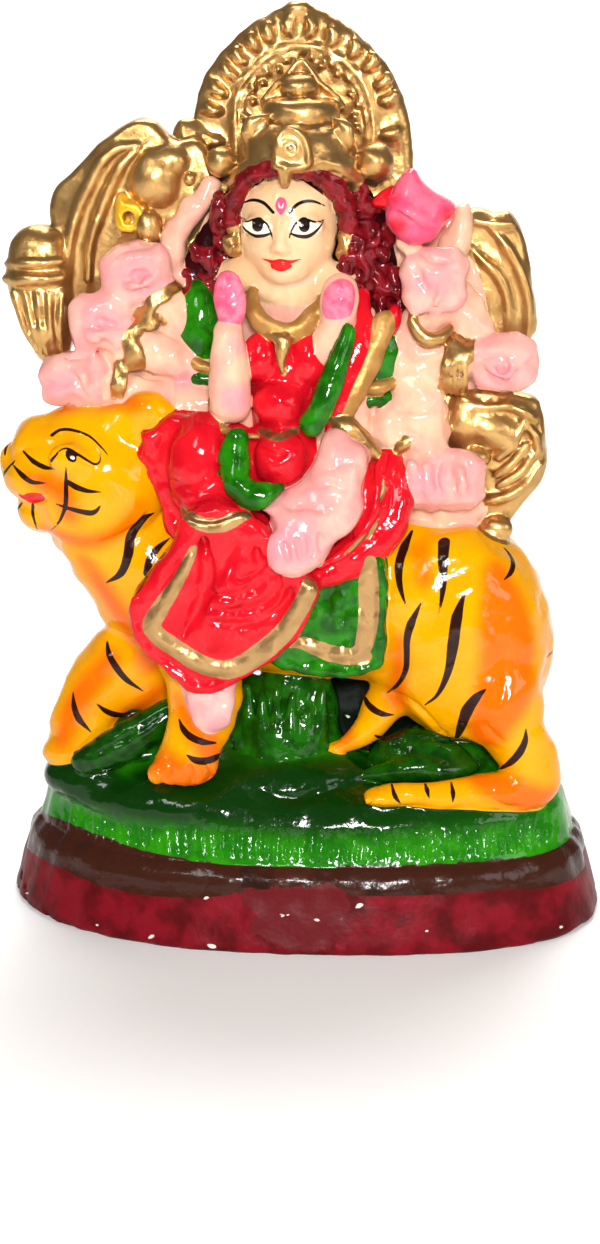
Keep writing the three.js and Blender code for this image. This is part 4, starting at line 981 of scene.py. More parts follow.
# Joining everything into one skin
# Lines worked into the wet plaster: pixels of the photograph, the width there, the depth in millimetres,
# which is less than nothing where the line stands out
relief = {
    "drapery": [
        ([(203, 536), (206, 552), (207, 568), (205, 584), (200, 602), (192, 620), (184, 634)],
         [2, 10, 16, 18, 16, 10, 3], 1.1),
        ([(268, 574), (260, 586), (244, 594), (226, 597), (212, 594)], [4, 8, 8, 8, 4], 0.9),
        ([(281, 584), (270, 600), (252, 609), (230, 612), (212, 609)], [4, 8, 8, 8, 4], 0.9),
        ([(292, 592), (280, 609), (260, 622), (236, 626), (214, 622)], [4, 8, 8, 8, 4], 0.9),
        ([(238, 544), (229, 556), (222, 572), (218, 586)], [3, 6, 6, 3], 0.5),
        ([(262, 540), (266, 556), (258, 572), (240, 580)], [3, 6, 6, 3], 0.5),
        ([(176, 500), (188, 514), (206, 520), (226, 516), (246, 509)], [3, 6, 7, 6, 3], 1.0),
        ([(178, 483), (192, 485), (203, 479), (210, 474)], [2, 4, 4, 2], 0.5),
        ([(172, 497), (186, 503), (200, 500), (214, 494)], [2, 4, 4, 2], 0.4),
        ([(163, 440), (158, 456), (163, 476), (173, 496)], [3, 8, 8, 3], 0.5),
        ([(148, 452), (156, 470), (160, 488), (170, 510), (184, 530)], [3, 6, 7, 6, 3], 0.5),
        ([(374, 466), (371, 490), (366, 514), (350, 538), (328, 554), (314, 566)], [3, 7, 8, 8, 7, 3], 1.1),
        ([(391, 470), (393, 492), (389, 514), (372, 536), (350, 556)], [3, 6, 7, 6, 3], 0.8),
    ],
    "skirtBorder": [
        ([(191, 556), (180, 578), (165, 602), (154, 620), (152, 629), (162, 640), (178, 651), (197, 663),
          (218, 669), (238, 666), (262, 651), (284, 631), (300, 607), (309, 588)],
         [9, 14, 16, 18, 18, 18, 18, 18, 18, 18, 18, 18, 17, 14], -0.85),
    ],
    "saddle": [
        ([(369, 566), (368, 585), (369, 610), (366, 634), (361, 652)], [14, 18, 18, 17, 14], -0.5),
        ([(356, 655), (340, 654), (320, 649), (302, 644)], [14, 16, 14, 6], -0.5),
        ([(330, 580), (334, 590), (328, 600), (332, 612)], [4, 8, 8, 4], 0.5),
        ([(344, 588), (348, 600), (342, 616), (346, 628)], [4, 8, 8, 4], 0.5),
    ],
    "foot": [
        ([(285, 543), (287, 551), (289, 560)], [4, 7, 4], 1.5),
        ([(297, 540), (299, 548), (300, 557)], [4, 7, 4], 1.4),
        ([(308, 538), (310, 546), (310, 554)], [4, 6, 4], 1.3),
        ([(319, 535), (321, 542), (320, 549)], [4, 6, 4], 1.1),
        ([(280, 500), (292, 508), (308, 506), (322, 512)], [4, 7, 7, 4], 0.5),
        ([(306, 476), (316, 486), (330, 484), (344, 490)], [4, 7, 7, 4], 0.5),
        ([(332, 470), (346, 462), (360, 464)], [4, 6, 4], 0.4),
    ],
    "leftArms": [
        ([(128, 277), (139, 272), (149, 274)], [4, 7, 4], 1.1),
        ([(122, 282), (132, 280), (140, 283)], [3, 5, 3], 0.6),
        ([(112, 258), (122, 250), (140, 248)], [3, 6, 3], 0.5),
        ([(99, 318), (108, 324), (118, 329)], [4, 7, 4], 1.1),
        ([(90, 336), (102, 340), (112, 347)], [3, 5, 3], 0.7),
        ([(92, 348), (102, 352), (112, 355)], [3, 6, 3], 0.7),
        ([(47, 383), (58, 386), (69, 382)], [3, 6, 3], 0.9),
        ([(73, 375), (79, 384), (83, 394)], [3, 6, 3], 0.9),
        ([(66, 360), (78, 358), (88, 358)], [3, 5, 3], 0.6),
        ([(134, 372), (150, 378), (170, 378)], [3, 5, 3], 0.7),
        ([(172, 378), (173, 394), (170, 410)], [3, 6, 3], 0.8),
        ([(160, 330), (172, 336), (182, 342)], [3, 5, 3], 0.6),
    ],
    "rightArms": [
        ([(408, 248), (413, 262), (419, 276), (426, 288)], [3, 7, 8, 4], 0.9),
        ([(424, 256), (436, 262), (446, 262)], [3, 6, 3], 0.5),
        ([(480, 358), (490, 355), (502, 357), (508, 365)], [3, 6, 6, 3], 0.9),
        ([(486, 372), (490, 382), (500, 386)], [3, 5, 3], 0.6),
        ([(404, 362), (420, 364), (440, 357)], [3, 6, 3], 0.8),
        ([(398, 410), (416, 412), (440, 408)], [3, 6, 3], 0.7),
        ([(392, 436), (404, 432), (420, 436)], [3, 6, 3], 0.6),
        ([(440, 462), (436, 478), (440, 494)], [3, 6, 3], 0.9),
        ([(452, 458), (450, 474), (456, 490)], [3, 6, 3], 0.8),
        ([(466, 462), (470, 476), (468, 488)], [3, 6, 3], 0.6),
    ],
    "head": [
        ([(56, 539), (84, 545), (112, 541), (134, 529), (146, 514)], [3, 7, 9, 8, 3], 0.9),
        ([(20, 496), (32, 500), (46, 499)], [4, 6, 4], 0.6),
        ([(20, 451), (30, 446), (42, 447)], [4, 7, 4], 0.5),
    ],
    "tiger": [
        ([(168, 756), (171, 768), (166, 778)], [3, 5, 3], 0.8),
        ([(190, 766), (194, 778), (190, 786)], [3, 5, 3], 0.8),
        ([(208, 764), (212, 772), (208, 780)], [3, 5, 3], 0.7),
        ([(392, 692), (408, 700), (424, 714), (444, 736), (462, 752)], [4, 8, 9, 8, 4], 0.8),
        ([(484, 722), (494, 736), (504, 742)], [3, 8, 3], 0.6),
        ([(494, 800), (508, 808), (520, 806)], [3, 6, 3], 0.6),
        ([(486, 600), (500, 640), (506, 680), (498, 712)], [6, 16, 16, 6], 0.5),
    ],
    "ground": [
        ([(100, 752), (130, 735), (158, 716)], [3, 6, 3], 0.5),
        ([(392, 745), (420, 738), (450, 742)], [3, 7, 3], 0.7),
        ([(262, 790), (300, 802), (340, 792)], [6, 12, 6], 0.4),
    ],
}


carving = {"near": 640, "far": 860, "step": 0.4, "spacing": 1.6, "jump": 4}  # how worked() looks for the skin

# Forms, how softly they join and the group joins the rest, the lumps' height and size, paint, worked lines
groups = [
    (makePlinth(), 0.5, 0.3, 0.16, 10, "grass", []),
    (makeUndergrowth(), 2.0, 0.8, 0.2, 7, "leaf", relief["ground"]),
    (makeTiger(), 5.0, 1.2, 0.3, 12, "tiger", relief["tiger"]),
    (makeTigerHead(), 4.0, 1.2, 0.25, 10, "tiger", relief["head"]),
    (makeSaddle(), 1.5, 0.5, 0.3, 7, "green", relief["saddle"]),
    (makeBody(), 3.0, 1.0, 0.25, 7, "red", []),
    (makeLeftArms(), 2.0, 0.8, 0.35, 7, "hand", relief["leftArms"]),
    (makeRightArms(), 2.0, 0.8, 0.35, 7, "hand", relief["rightArms"]),
    (makeHair(), 1.0, 0.5, 0.25, 3, "hair", []),
    (makeHead(), 2.0, 0.6, 0.06, 8, "face", []),
    (makeNecklace(), 0.8, 0.4, 0.12, 4, "gold", []),
    (makeDrapery(), 2.0, 0.7, 0.25, 8, "red", relief["drapery"] + relief["skirtBorder"]),
    (makeFoldedFoot(), 1.5, 0.6, 0.25, 7, "hand", relief["foot"]),
    (makeFrontArms(), 1.5, 0.6, 0.15, 7, "skin", []),
    (makeAureole(), 0.6, 0.5, 0.12, 4, "gold", []),
    (makeCrown(), 0.5, 0.5, 0.12, 4, "gold", []),
    (makeEmblems(), 1.0, 0.6, 0.15, 8, "gold", []),
    (makeLotus(), 0.8, 0.5, 0.15, 7, "lotus", []),
]


def lumps(x, y, z, size, waves=10):
    # gentle unevenness of hand-pressed plaster, from waves in many directions
    chance = np.random.default_rng(int(size * 10))
    total = 0
    for wave in range(waves):
        way = chance.normal(size=3)
        way *= 2 * np.pi / size * chance.uniform(0.6, 1.3) / np.linalg.norm(way)
        turn = chance.uniform(0, 2 * np.pi)
        parts = [np.exp(1j * (w * axis)).astype(np.complex64) for w, axis in zip(way, (x, y, z))]
        total = total + (parts[0] * parts[1] * parts[2] * np.complex64(np.exp(1j * turn))).real
    return total / math.sqrt(waves / 2)


def smoothUnion(a, b, blend):
    h = np.clip(0.5 + 0.5 * (b - a) / blend, 0, 1)
    return b + (a - b) * h - blend * h * (1 - h)


emptySpace = 9.0  # distance that stands for no plaster nearby
cell = casting["cell"]
axisX, axisY, axisZ = (np.arange(low, high, cell, dtype=np.float32) for low, high in casting["reach"])


def blockOf(low, high, pad):
    # the samples that lie within a box, as slices
    parts = []
    for axis, start, end in zip((axisX, axisY, axisZ), low, high):
        first = max(0, int((start - pad - axis[0]) / cell))
        last = min(len(axis), int((end + pad - axis[0]) / cell) + 2)
        parts.append(slice(first, last))
    return tuple(parts)


def placesIn(block):
    return axisX[block[0]][:, None, None], axisY[block[1]][None, :, None], axisZ[block[2]][None, None, :]


def distanceInBlock(form, block, pad):
    if form["kind"] != "rope":
        return distance(form, *placesIn(block)).astype(np.float32)
    starts = [part.start for part in block]
    field = np.full([part.stop - part.start for part in block], emptySpace, np.float32)
    for i in range(len(form["points"]) - 1):
        ends = form["points"][i:i + 2]
        wide = ends[:, 3].max() * (1 + form["bite"])
        inner = blockOf(ends[:, :3].min(0) - wide, ends[:, :3].max(0) + wide, pad)
        near = tuple(slice(max(0, a.start - s), max(0, a.stop - s)) for a, s in zip(inner, starts))
        part = stretchDistance(form, i, *placesIn(inner))
        field[near] = np.minimum(field[near], part[tuple(slice(0, n) for n in field[near].shape)])
    return field


def layForm(field, form, blend):
    blend = form["blend"] or blend
    pad = blend + 2.5 * cell + 0.6
    block = blockOf(form["low"], form["high"], pad)
    near = distanceInBlock(form, block, pad)
    if form["cut"]:
        field[block] = -smoothUnion(-field[block], near, blend)
    else:
        field[block] = smoothUnion(field[block], near, blend)


def sample(plaster, points):
    # the plaster's distance at any place, between its samples
    where = (points - [axisX[0], axisY[0], axisZ[0]]) / cell
    where = np.clip(where, 0, np.array(plaster.shape) - 1.001)
    i = where.astype(int)
    f = (where - i).astype(np.float32)
    total = 0
    for dx in (0, 1):
        for dy in (0, 1):
            for dz in (0, 1):
                weight = (np.where(dx, f[:, 0], 1 - f[:, 0]) * np.where(dy, f[:, 1], 1 - f[:, 1])
                          * np.where(dz, f[:, 2], 1 - f[:, 2]))
                total = total + weight * plaster[i[:, 0] + dx, i[:, 1] + dy, i[:, 2] + dz]
    return total


def worked(field, line, paint):
    # a groove or a ridge along marks on the photograph, wherever the field's own surface is seen there
    marks, widths, depth = line
    count = max(4, int(pathLength(marks) * pixelSize / carving["spacing"]))
    reach = np.arange(carving["near"], carving["far"], carving["step"])
    runs = [[]]
    for (px, py), half in zip(smoothPath(marks, count), widthsAlong(widths, count, pixelSize)):
        way = np.array(sightLine(px, py))
        places = np.array(eye) + way * reach[:, None]
        inside = sample(field, places) < 0
        first = int(inside.argmax())
        if not inside[first] or (runs[-1] and abs(reach[first] - runs[-1][-1][4]) > carving["jump"]):
            runs.append([])
        if inside[first]:
            sink = abs(depth) - half if depth > 0 else half - abs(depth)
            x, y, z = places[first] + way * sink
            runs[-1].append([x, y, z - rimHeight, max(0.3, half), reach[first]])
    blend = 0.5 + 0.6 * abs(depth)
    return [rope(paint, [place[:4] for place in run], cut=depth > 0, blend=blend, steps=len(run))
            for run in runs if len(run) > 2]


def castPlaster():
    plaster = np.full((len(axisX), len(axisY), len(axisZ)), emptySpace, np.float32)
    for forms, inner, outer, height, size, paint, lines in groups:
        low = np.min([f["low"] for f in forms], axis=0)
        high = np.max([f["high"] for f in forms], axis=0)
        block = blockOf(low, high, emptySpace)
        own = np.full_like(plaster, emptySpace)
        for form in forms:
            layForm(own, form, inner)
        if height:
            own[block] += height * lumps(*placesIn(block), size)
        for line in lines:
            for form in worked(own, line, paint):
                layForm(own, form, inner)
        plaster[block] = smoothUnion(plaster[block], own[block], outer)
    return np.maximum(plaster, -axisZ[None, None, :])  # flat underside


def largestBody(points, faces):
    label = np.arange(len(points))
    a, b = faces[:, [0, 1, 2]].ravel(), faces[:, [1, 2, 0]].ravel()
    while True:
        least = np.minimum(label[a], label[b])
        before = label.copy()
        np.minimum.at(label, a, least)
        np.minimum.at(label, b, least)
        label = label[label]
        if (label == before).all():
            break
    biggest = np.bincount(label[faces[:, 0]]).argmax()
    faces = faces[label[faces[:, 0]] == biggest]
    used, faces = np.unique(faces, return_inverse=True)
    return points[used], faces.reshape(-1, 3)


def meshFrom(points, faces, name):
    mesh = bpy.data.meshes.new(name)
    mesh.vertices.add(len(points))
    mesh.vertices.foreach_set("co", np.ascontiguousarray(points, np.float32).ravel())
    mesh.loops.add(3 * len(faces))
    mesh.loops.foreach_set("vertex_index", np.ascontiguousarray(faces, np.int32).ravel())
    mesh.polygons.add(len(faces))
    mesh.polygons.foreach_set("loop_start", np.arange(0, 3 * len(faces), 3, dtype=np.int32))
    mesh.update(calc_edges=True)
    return mesh


def skinOf(plaster):
    reach = 3.0  # only places this near the skin matter
    grid = openvdb.FloatGrid(reach)
    grid.copyFromArray(np.clip(plaster, -reach, reach).astype(np.float32))
    points, triangles, quads = grid.convertToPolygons(0.0, 0.0)
    faces = np.vstack([triangles.reshape(-1, 3), quads[:, [0, 1, 2]], quads[:, [0, 2, 3]]]).astype(np.int64)
    corner = np.array([axisX[0], axisY[0], axisZ[0]])
    points = points * cell + corner
    a, b, c = (points[faces[:, i]] for i in range(3))
    if np.einsum("ij,ij->i", a, np.cross(b, c)).sum() < 0:
        faces = faces[:, ::-1]
    return points, faces


def thinOut(points, faces, target):
    # fewer faces, first where the plaster is plain
    mesh = meshFrom(points, faces, "thick")
    holder = addObject("thick", mesh)
    thin = holder.modifiers.new("thin", "DECIMATE")
    thin.ratio = min(1.0, target / len(faces))
    graph = bpy.context.evaluated_depsgraph_get()
    made = holder.evaluated_get(graph).to_mesh()
    made.calc_loop_triangles()
    corners = np.zeros(3 * len(made.loop_triangles), np.int32)
    made.loop_triangles.foreach_get("vertices", corners)
    places = np.zeros(3 * len(made.vertices), np.float32)
    made.vertices.foreach_get("co", places)
    bpy.data.objects.remove(holder)
    return places.reshape(-1, 3).astype(float), corners.reshape(-1, 3).astype(np.int64)


def slopeOf(plaster, points):
    step = cell * 0.6
    slope = np.stack([sample(plaster, points + way * step) - sample(plaster, points - way * step)
                      for way in np.eye(3)], axis=1)
    return slope / np.maximum(np.linalg.norm(slope, axis=1, keepdims=True), 1e-6)


def splitEdges(points, faces, wanted):
    # cuts every wanted edge at its middle, and each face to match
    edges = np.sort(np.stack([faces, np.roll(faces, -1, axis=1)], axis=2).reshape(-1, 2), axis=1)
    unique, index = np.unique(edges, axis=0, return_inverse=True)
    index = index.reshape(-1, 3)
    cut = wanted(unique)
    middles = np.full(len(unique), -1)
    middles[cut] = len(points) + np.arange(cut.sum())
    added = points[unique[cut]].mean(axis=1)
    mids = middles[index]
    count = (mids >= 0).sum(axis=1)
    parts = [faces[count == 0]]
    for first in range(3):
        f, m = np.roll(faces, -first, axis=1), np.roll(mids, -first, axis=1)
        one = (count == 1) & (m[:, 0] >= 0)
        parts += [np.stack([f[one, 0], m[one, 0], f[one, 2]], 1),
                  np.stack([m[one, 0], f[one, 1], f[one, 2]], 1)]
        two = (count == 2) & (m[:, 2] < 0)
        parts += [np.stack([f[two, 0], m[two, 0], m[two, 1]], 1),
                  np.stack([m[two, 0], f[two, 1], m[two, 1]], 1),
                  np.stack([f[two, 0], m[two, 1], f[two, 2]], 1)]
    f, m = faces[count == 3], mids[count == 3]
    parts += [np.stack([f[:, 0], m[:, 0], m[:, 2]], 1), np.stack([m[:, 0], f[:, 1], m[:, 1]], 1),
              np.stack([m[:, 2], m[:, 1], f[:, 2]], 1), m]
    return np.vstack([points, added]), np.vstack(parts), np.arange(len(points), len(points) + len(added))


def closeTo(form, points, pad):
    return ((points > form["low"] - pad) & (points < form["high"] + pad)).all(axis=1)


def paintDistances(points, forms, clamp=4.0):
    # distance to the nearest form of each paint
    found = {}
    for form in forms:
        if form["cut"]:
            continue
        known = found.setdefault(form["paint"], np.full(len(points), clamp, np.float32))
        hit = np.nonzero(closeTo(form, points, clamp))[0]
        if len(hit):
            x, y, z = points[hit].astype(np.float32).T
            known[hit] = np.minimum(known[hit], distance(form, x, y, z))
    return found


report("forms listed")
plaster = castPlaster()
report(f"plaster cast on {plaster.size / 1e6:.1f} million samples")
points, faces = skinOf(plaster)
report(f"skin of {len(faces)} triangles")
points, faces = thinOut(points, faces, casting["faces"] * (1))
points, faces = largestBody(points, faces)
report(f"thinned to {len(faces)} triangles")


# Brush strokes, laid on the skin along the photograph's lines of sight or straight from the front
skinTree = BVHTree.FromPolygons(points.tolist(), faces.tolist())


def strokeFrom(paint, marks, widths, aim="photo", jump=5.0, spacing=0.5, away=200):
    # marks and widths are pixels with aim "photo", millimetres (x, z) with aim "front" or "back"
    unit = pixelSize if aim == "photo" else 1.0
    count = max(3, int(pathLength(marks) * unit / spacing))
    runs, last = [[]], None
    for (u, v), half in zip(smoothPath(marks, count), widthsAlong(widths, count, unit)):
        if aim == "photo":
            start, way = eye, sightLine(u, v)
        elif aim == "front":
            start, way = Vector((u, -away, v + rimHeight)), Vector((0, 1, 0))
        else:
            start, way = Vector((u, away, v + rimHeight)), Vector((0, -1, 0))
        hit = skinTree.ray_cast(start, way)[0]
        if hit is None or (last is not None and (hit - last).length > jump):
            runs.append([])
        if hit is not None:
            runs[-1].append([hit.x, hit.y, hit.z - rimHeight, max(0.15, half)])
            last = hit
    return [rope(paint, run, steps=len(run)) for run in runs if len(run) > 2]


def makeFacePaint():
    strokes = []
    aim, eyeLevel = face["middle"] + face["turn"], face["eyeLevel"]

    def around(side, marks):
        return [(aim + side * across, eyeLevel + rise) for across, rise in marks]

    for side in (-1, 1):
        for rise in (-1.6, -0.8, 0.0, 0.8, 1.6):
            half = 4.9 * math.sqrt(1 - (rise / 2.5) ** 2)
            white = around(side, [(7.6 - half, rise), (7.6, rise), (7.6 + half, rise)])
            strokes += strokeFrom("white", white, [0.8, 1.3, 0.8], "front")
        upper = around(side, [(2.8, -2.0), (4.6, 1.3), (7.8, 2.5), (10.8, 1.7), (13.6, 2.2)])
        lower = around(side, [(2.6, -3.4), (3.2, -1.9), (5.4, -2.5), (8.4, -2.6), (11.2, -0.8), (13.2, 1.9)])
        strokes += strokeFrom("line", upper, [0.5, 0.7, 0.8, 0.7, 0.3], "front")
        strokes += strokeFrom("line", lower, [0.5, 0.6, 1.1, 1.4, 1.0, 0.3], "front")
        brow = around(side, [(2.4, 4.6), (5.6, 7.4), (9.6, 7.9), (14.4, 5.8)])
        strokes += strokeFrom("line", brow, [1.0, 1.1, 1.0, 0.3], "front")
        strokes += strokeFrom("line", around(side, [(7.2, 1.6), (7.3, 0.4)]), [3.6, 3.4], "front")
    strokes += strokeFrom("lip", [(aim - 6.2, 195.2), (aim - 2.8, 194.5), (aim, 194.8), (aim + 2.8, 194.5),
                                  (aim + 6.2, 195.2)], [0.3, 1.2, 1.8, 1.2, 0.3], "front")
    strokes += strokeFrom("lip", [(aim - 2.8, 193.2), (aim, 192.5), (aim + 2.8, 193.2)], [1.5, 2.6, 1.5],
                          "front")
    strokes += strokeFrom("rose", [(aim, 212.8), (aim, 211.6), (aim, 209.6)], [3.2, 3.8, 1.4], "front")
    strokes += strokeFrom("white", [(aim - 0.7, 212.6), (aim - 0.6, 211.6), (aim, 211.0), (aim + 0.6, 211.6),
                                    (aim + 0.7, 212.6)], [0.4, 0.5, 0.5, 0.5, 0.4], "front")
    return strokes


# The tiger's stripes and lines: pixels of the photograph and the brush's width there, in groups that each
# say how heavy the brush is
stripes = {
    "head": (1.5, [
        ([(52, 435), (60, 430), (72, 430), (89, 436), (101, 447), (112, 460)],
         [2.6, 2.2, 2.0, 1.6, 1.2, 0.4]),  # brow
        ([(51, 461), (61, 450), (69, 449), (79, 455), (94, 464), (100, 461), (100, 453)],
         [2.2, 1.2, 1.6, 2.0, 1.6, 1.2, 0.4]),  # eyelid
        ([(69, 453), (71, 456), (73, 459)], [4.5, 7, 4.5]),
        ([(9, 443), (6, 448), (5, 454)], [1.0, 3.0, 2.0]),  # nose
        ([(4, 474), (9, 467), (15, 461)], [3.4, 2.6, 1.2]),
        ([(23, 451), (33, 461), (44, 467), (55, 469)], [1.2, 3.4, 3.2, 0.8]),  # whiskers
        ([(13, 465), (22, 475), (32, 482), (46, 483)], [1.0, 3.6, 3.4, 0.8]),
        ([(66, 466), (66, 484), (66, 500), (65, 508), (59, 522), (50, 531)], [0.6, 3.0, 3.4, 2.8, 1.6, 0.6]),
        ([(68, 482), (76, 487), (88, 491), (101, 492)], [3.2, 4.0, 2.8, 0.8]),
        ([(56, 504), (71, 509), (89, 513), (96, 511), (100, 506)], [1.0, 3.0, 4.0, 2.8, 1.2]),
        ([(22, 503), (18, 510), (20, 523)], [1.6, 3.2, 1.2]),
        ([(33, 505), (33, 515), (38, 532)], [2.8, 2.4, 0.6]),
    ]),
    "neck": (1.5, [
        ([(154, 513), (142, 520), (131, 536), (128, 555), (121, 573), (106, 583)], [1, 5, 6.4, 6.4, 5, 0.8]),
        ([(170, 538), (158, 548), (150, 560), (144, 582), (131, 600)], [0.8, 4, 5.4, 4.4, 0.8]),
    ]),
    "legs": (1.7, [
        ([(107, 641), (109, 654), (116, 667), (127, 680), (143, 691)], [1.2, 3.6, 4.4, 3.6, 0.8]),
        ([(73, 692), (74, 706), (79, 719), (91, 732)], [1, 4, 4.2, 0.8]),
        ([(97, 704), (106, 711), (118, 715), (132, 714), (145, 710)], [1, 3.4, 4, 3.2, 0.8]),
        ([(179, 719), (183, 729), (191, 737), (203, 742), (216, 743)], [1, 3.6, 4.2, 4, 1.2]),
        ([(187, 755), (195, 760), (206, 761), (217, 757), (225, 750)], [1, 4, 4.6, 4, 0.8]),
        ([(363, 691), (366, 701), (373, 709), (383, 714), (394, 715)], [1, 3.4, 4, 3.4, 0.8]),
        ([(374, 735), (383, 738), (393, 737), (401, 732), (407, 726)], [1, 3.6, 4, 3.2, 0.8]),
        ([(391, 782), (395, 796), (401, 804)], [1, 3, 0.6]),
        ([(425, 783), (427, 790), (429, 798)], [1, 3, 1]),
        ([(451, 782), (453, 793), (453, 803)], [1, 3, 0.8]),
    ]),
    "back": (2.0, [
        ([(412, 531), (404, 548), (399, 566), (400, 586), (406, 606)], [1.4, 4.6, 4.4, 3, 0.6]),
        ([(444, 542), (443, 562), (443, 588), (439, 614)], [6, 5, 3.0, 0.6]),
        ([(504, 548), (510, 555), (513, 563), (511, 572), (504, 580)], [1, 3, 3.4, 2.8, 0.6]),
        ([(421, 603), (411, 624), (407, 640), (406, 668), (398, 684), (387, 693)],
         [0.8, 4.2, 3.6, 3, 2.2, 0.8]),
        ([(465, 592), (457, 617), (453, 645), (448, 672), (438, 694), (425, 705)],
         [0.8, 5.4, 5.6, 3.6, 2, 0.8]),
        ([(486, 689), (476, 698), (467, 711), (461, 727), (454, 745)], [0.8, 4.4, 6, 4.6, 0.8]),
        ([(526, 729), (525, 741), (520, 752), (511, 762), (498, 770)], [0.8, 3.4, 4, 3.4, 0.8]),
        ([(556, 648), (547, 657)], [1.4, 1.0]),
    ]),
}


tigerLip = ([(23, 496), (32, 497), (42, 497)], [9, 14, 8])
gilding = {  # strokes of brushed gold
    "skirtLeft": ([(194, 549), (182, 572), (167, 598), (154, 618), (151, 628), (160, 638), (176, 649),
                   (196, 662), (218, 670), (238, 667), (262, 652), (284, 632), (300, 608), (310, 588),
                   (311, 582)],
                  [8, 13, 15, 18, 18, 18, 18, 19, 19, 19, 20, 19, 18, 17, 14]),
    "knee": ([(180, 502), (190, 517), (206, 525), (224, 524), (238, 517), (249, 514)],
             [3, 12, 14, 15, 14, 8]),
    "saddleSide": ([(370, 562), (368.5, 583), (369, 610), (366, 636), (361, 655)], [13, 20, 20, 19, 16]),
    "saddleFoot": ([(364, 657), (340, 656), (318, 649), (302, 643), (288, 647)], [16, 18, 16, 12, 3]),
    "crescentA": ([(382, 476), (382.5, 489), (380, 502)], [2, 7, 2]),
    "crescentB": ([(379, 518), (368, 534), (344, 555)], [2, 9, 2]),
    "belt": ([(260, 431), (277, 436), (296, 431)], [7, 13, 7]),
}
orange = {  # soft airbrushed shading
    "haunch": ([(497, 575), (508, 630), (506, 690), (484, 735)], [30, 60, 60, 40]),
    "heel": ([(480, 780), (505, 790), (530, 800), (552, 796)], [24, 34, 36, 20]),
    "thigh": ([(400, 640), (398, 700)], [10, 26]),
    "jowl": ([(46, 530), (85, 542), (122, 530), (140, 505)], [12, 18, 16, 8]),
    "muzzle": ([(30, 478), (60, 490), (70, 515)], [14, 26, 18]),
    "forehead": ([(50, 410), (90, 398), (140, 404)], [12, 22, 14]),
    "throat": ([(85, 560), (110, 600), (150, 660)], [14, 26, 30]),
    "nearPaw": ([(160, 765), (185, 778), (210, 776)], [30, 40, 28]),
    "nearLeg": ([(178, 700), (190, 722), (205, 742), (212, 756)], [12, 22, 30, 26]),
    "farLeg": ([(62, 740), (78, 700), (110, 660)], [22, 30, 22]),
    "farLegInner": ([(90, 745), (130, 715), (160, 690)], [10, 24, 20]),
    "hindShin": ([(355, 700), (345, 738)], [16, 20]),
    "hip": ([(420, 548), (425, 580)], [10, 16]),
}
touches = {  # small patches of airbrushed colour: half their length, then place and size of each
    "blush": (4, [(139, 274, 24), (104, 322, 24), (62, 385, 22), (424, 283, 14), (503, 376, 26),
                  (428, 482, 24), (290, 545, 44), (258, 505, 20), (275, 560, 20), (240, 345, 12),
                  (236, 400, 26), (186, 380, 18), (160, 400, 18), (272, 700, 30)]),
    "rosy": (2, [(447, 216, 12), (396, 226, 16), (386, 236, 12), (437, 236, 10), (392, 200, 8)]),
}
chips = {  # bare white plaster: place and size
    "rim": [(151, 937, 5), (207, 898, 4), (282, 915, 4), (317, 920, 5), (359, 906, 6), (427, 931, 2.4),
            (561, 927, 3), (477, 953, 9), (212, 946, 7), (500, 954, 4), (97, 925, 3), (288, 915, 3),
            (27, 893, 3)],
    "grass": [(224, 706, 4), (226, 716, 3), (348, 716, 4)],
}


brushed = {  # paint that strays over its edge, and darker peeled plaster
    "umber": [([(24, 822), (36, 832), (65, 846), (100, 861), (140, 872), (190, 879), (226, 880)],
               [34, 44, 46, 48, 44, 38, 30]),
              ([(333, 955), (331, 935), (342, 916), (347, 900), (350, 884)], [2.6, 2.2, 3.4, 2.2, 1.6]),
              ([(344, 877), (420, 877), (500, 874), (545, 871), (570, 863), (582, 860)],
               [24, 25, 30, 34, 32, 20])],
    "peeled": [([(252, 899), (290, 903), (330, 902), (341, 905)], [22, 32, 34, 20]),
               ([(262, 925), (300, 934), (326, 930)], [24, 40, 34])],
}


def makeTigerPaint():
    strokes = []
    for brush, group in stripes.values():
        for marks, widths in group:
            strokes += strokeFrom("ink", marks, [width * brush for width in widths])
    strokes += strokeFrom("lip", *tigerLip)
    for step in range(5):  # plainer stripes on the far side
        x = -42 + 24 * step + 4 * (step > 2)
        strokes += strokeFrom("ink", [(x, 104), (x + 3, 88), (x - 1, 72), (x + 2, 60)], [0.4, 2.6, 2.2, 0.4],
                              "back")
    for x, z in ((66, 80), (62, 62), (-60, 110), (-66, 96)):
        strokes += strokeFrom("ink", [(x, z), (x + 6, z - 7), (x + 8, z - 15)], [0.4, 2.4, 0.4], "back")
    return strokes


def makeBrushedPaint():
    strokes = []
    for marks, widths in gilding.values():
        strokes += strokeFrom("gilt", marks, widths)
    for paint, group in brushed.items():
        for marks, widths in group:
            strokes += strokeFrom(paint, marks, widths)
    chance = np.random.default_rng(3)
    for px, py, size in chips["rim"] + chips["grass"]:
        lean = chance.uniform(-0.6, 0.6)
        marks = [(px - 0.45 * size, py - lean * size * 0.4), (px, py + lean),
                 (px + 0.45 * size, py + lean * size * 0.4)]
        strokes += strokeFrom("bare", marks, [size * 0.5, size * 0.75, size * 0.4])
    return strokes


def makeTints():
    # airbrushed colour falls on near and far forms alike, so a touch may jump 12 mm
    tints = []
    for marks, widths in orange.values():
        tints += strokeFrom("orange", marks, widths, jump=12)
    for paint, (half, places) in touches.items():
        for px, py, size in places:
            marks = [(px - half, py), (px, py - 1), (px + half, py)]
            tints += strokeFrom(paint, marks, [size, size, size], jump=12)
    # painted shade: a darker green laid over the top of the mound
    tints.append(rope("shade", [[-88, -8, 22, 9], [-62, -28, 21, 11], [-30, -36, 20.5, 11],
                                [8, -37, 20.5, 12], [46, -34, 20, 10], [84, -20, 19, 7]]))
    tints.append(ball("shade", [2, -20, 23], [60, 22, 9]))
    return tints


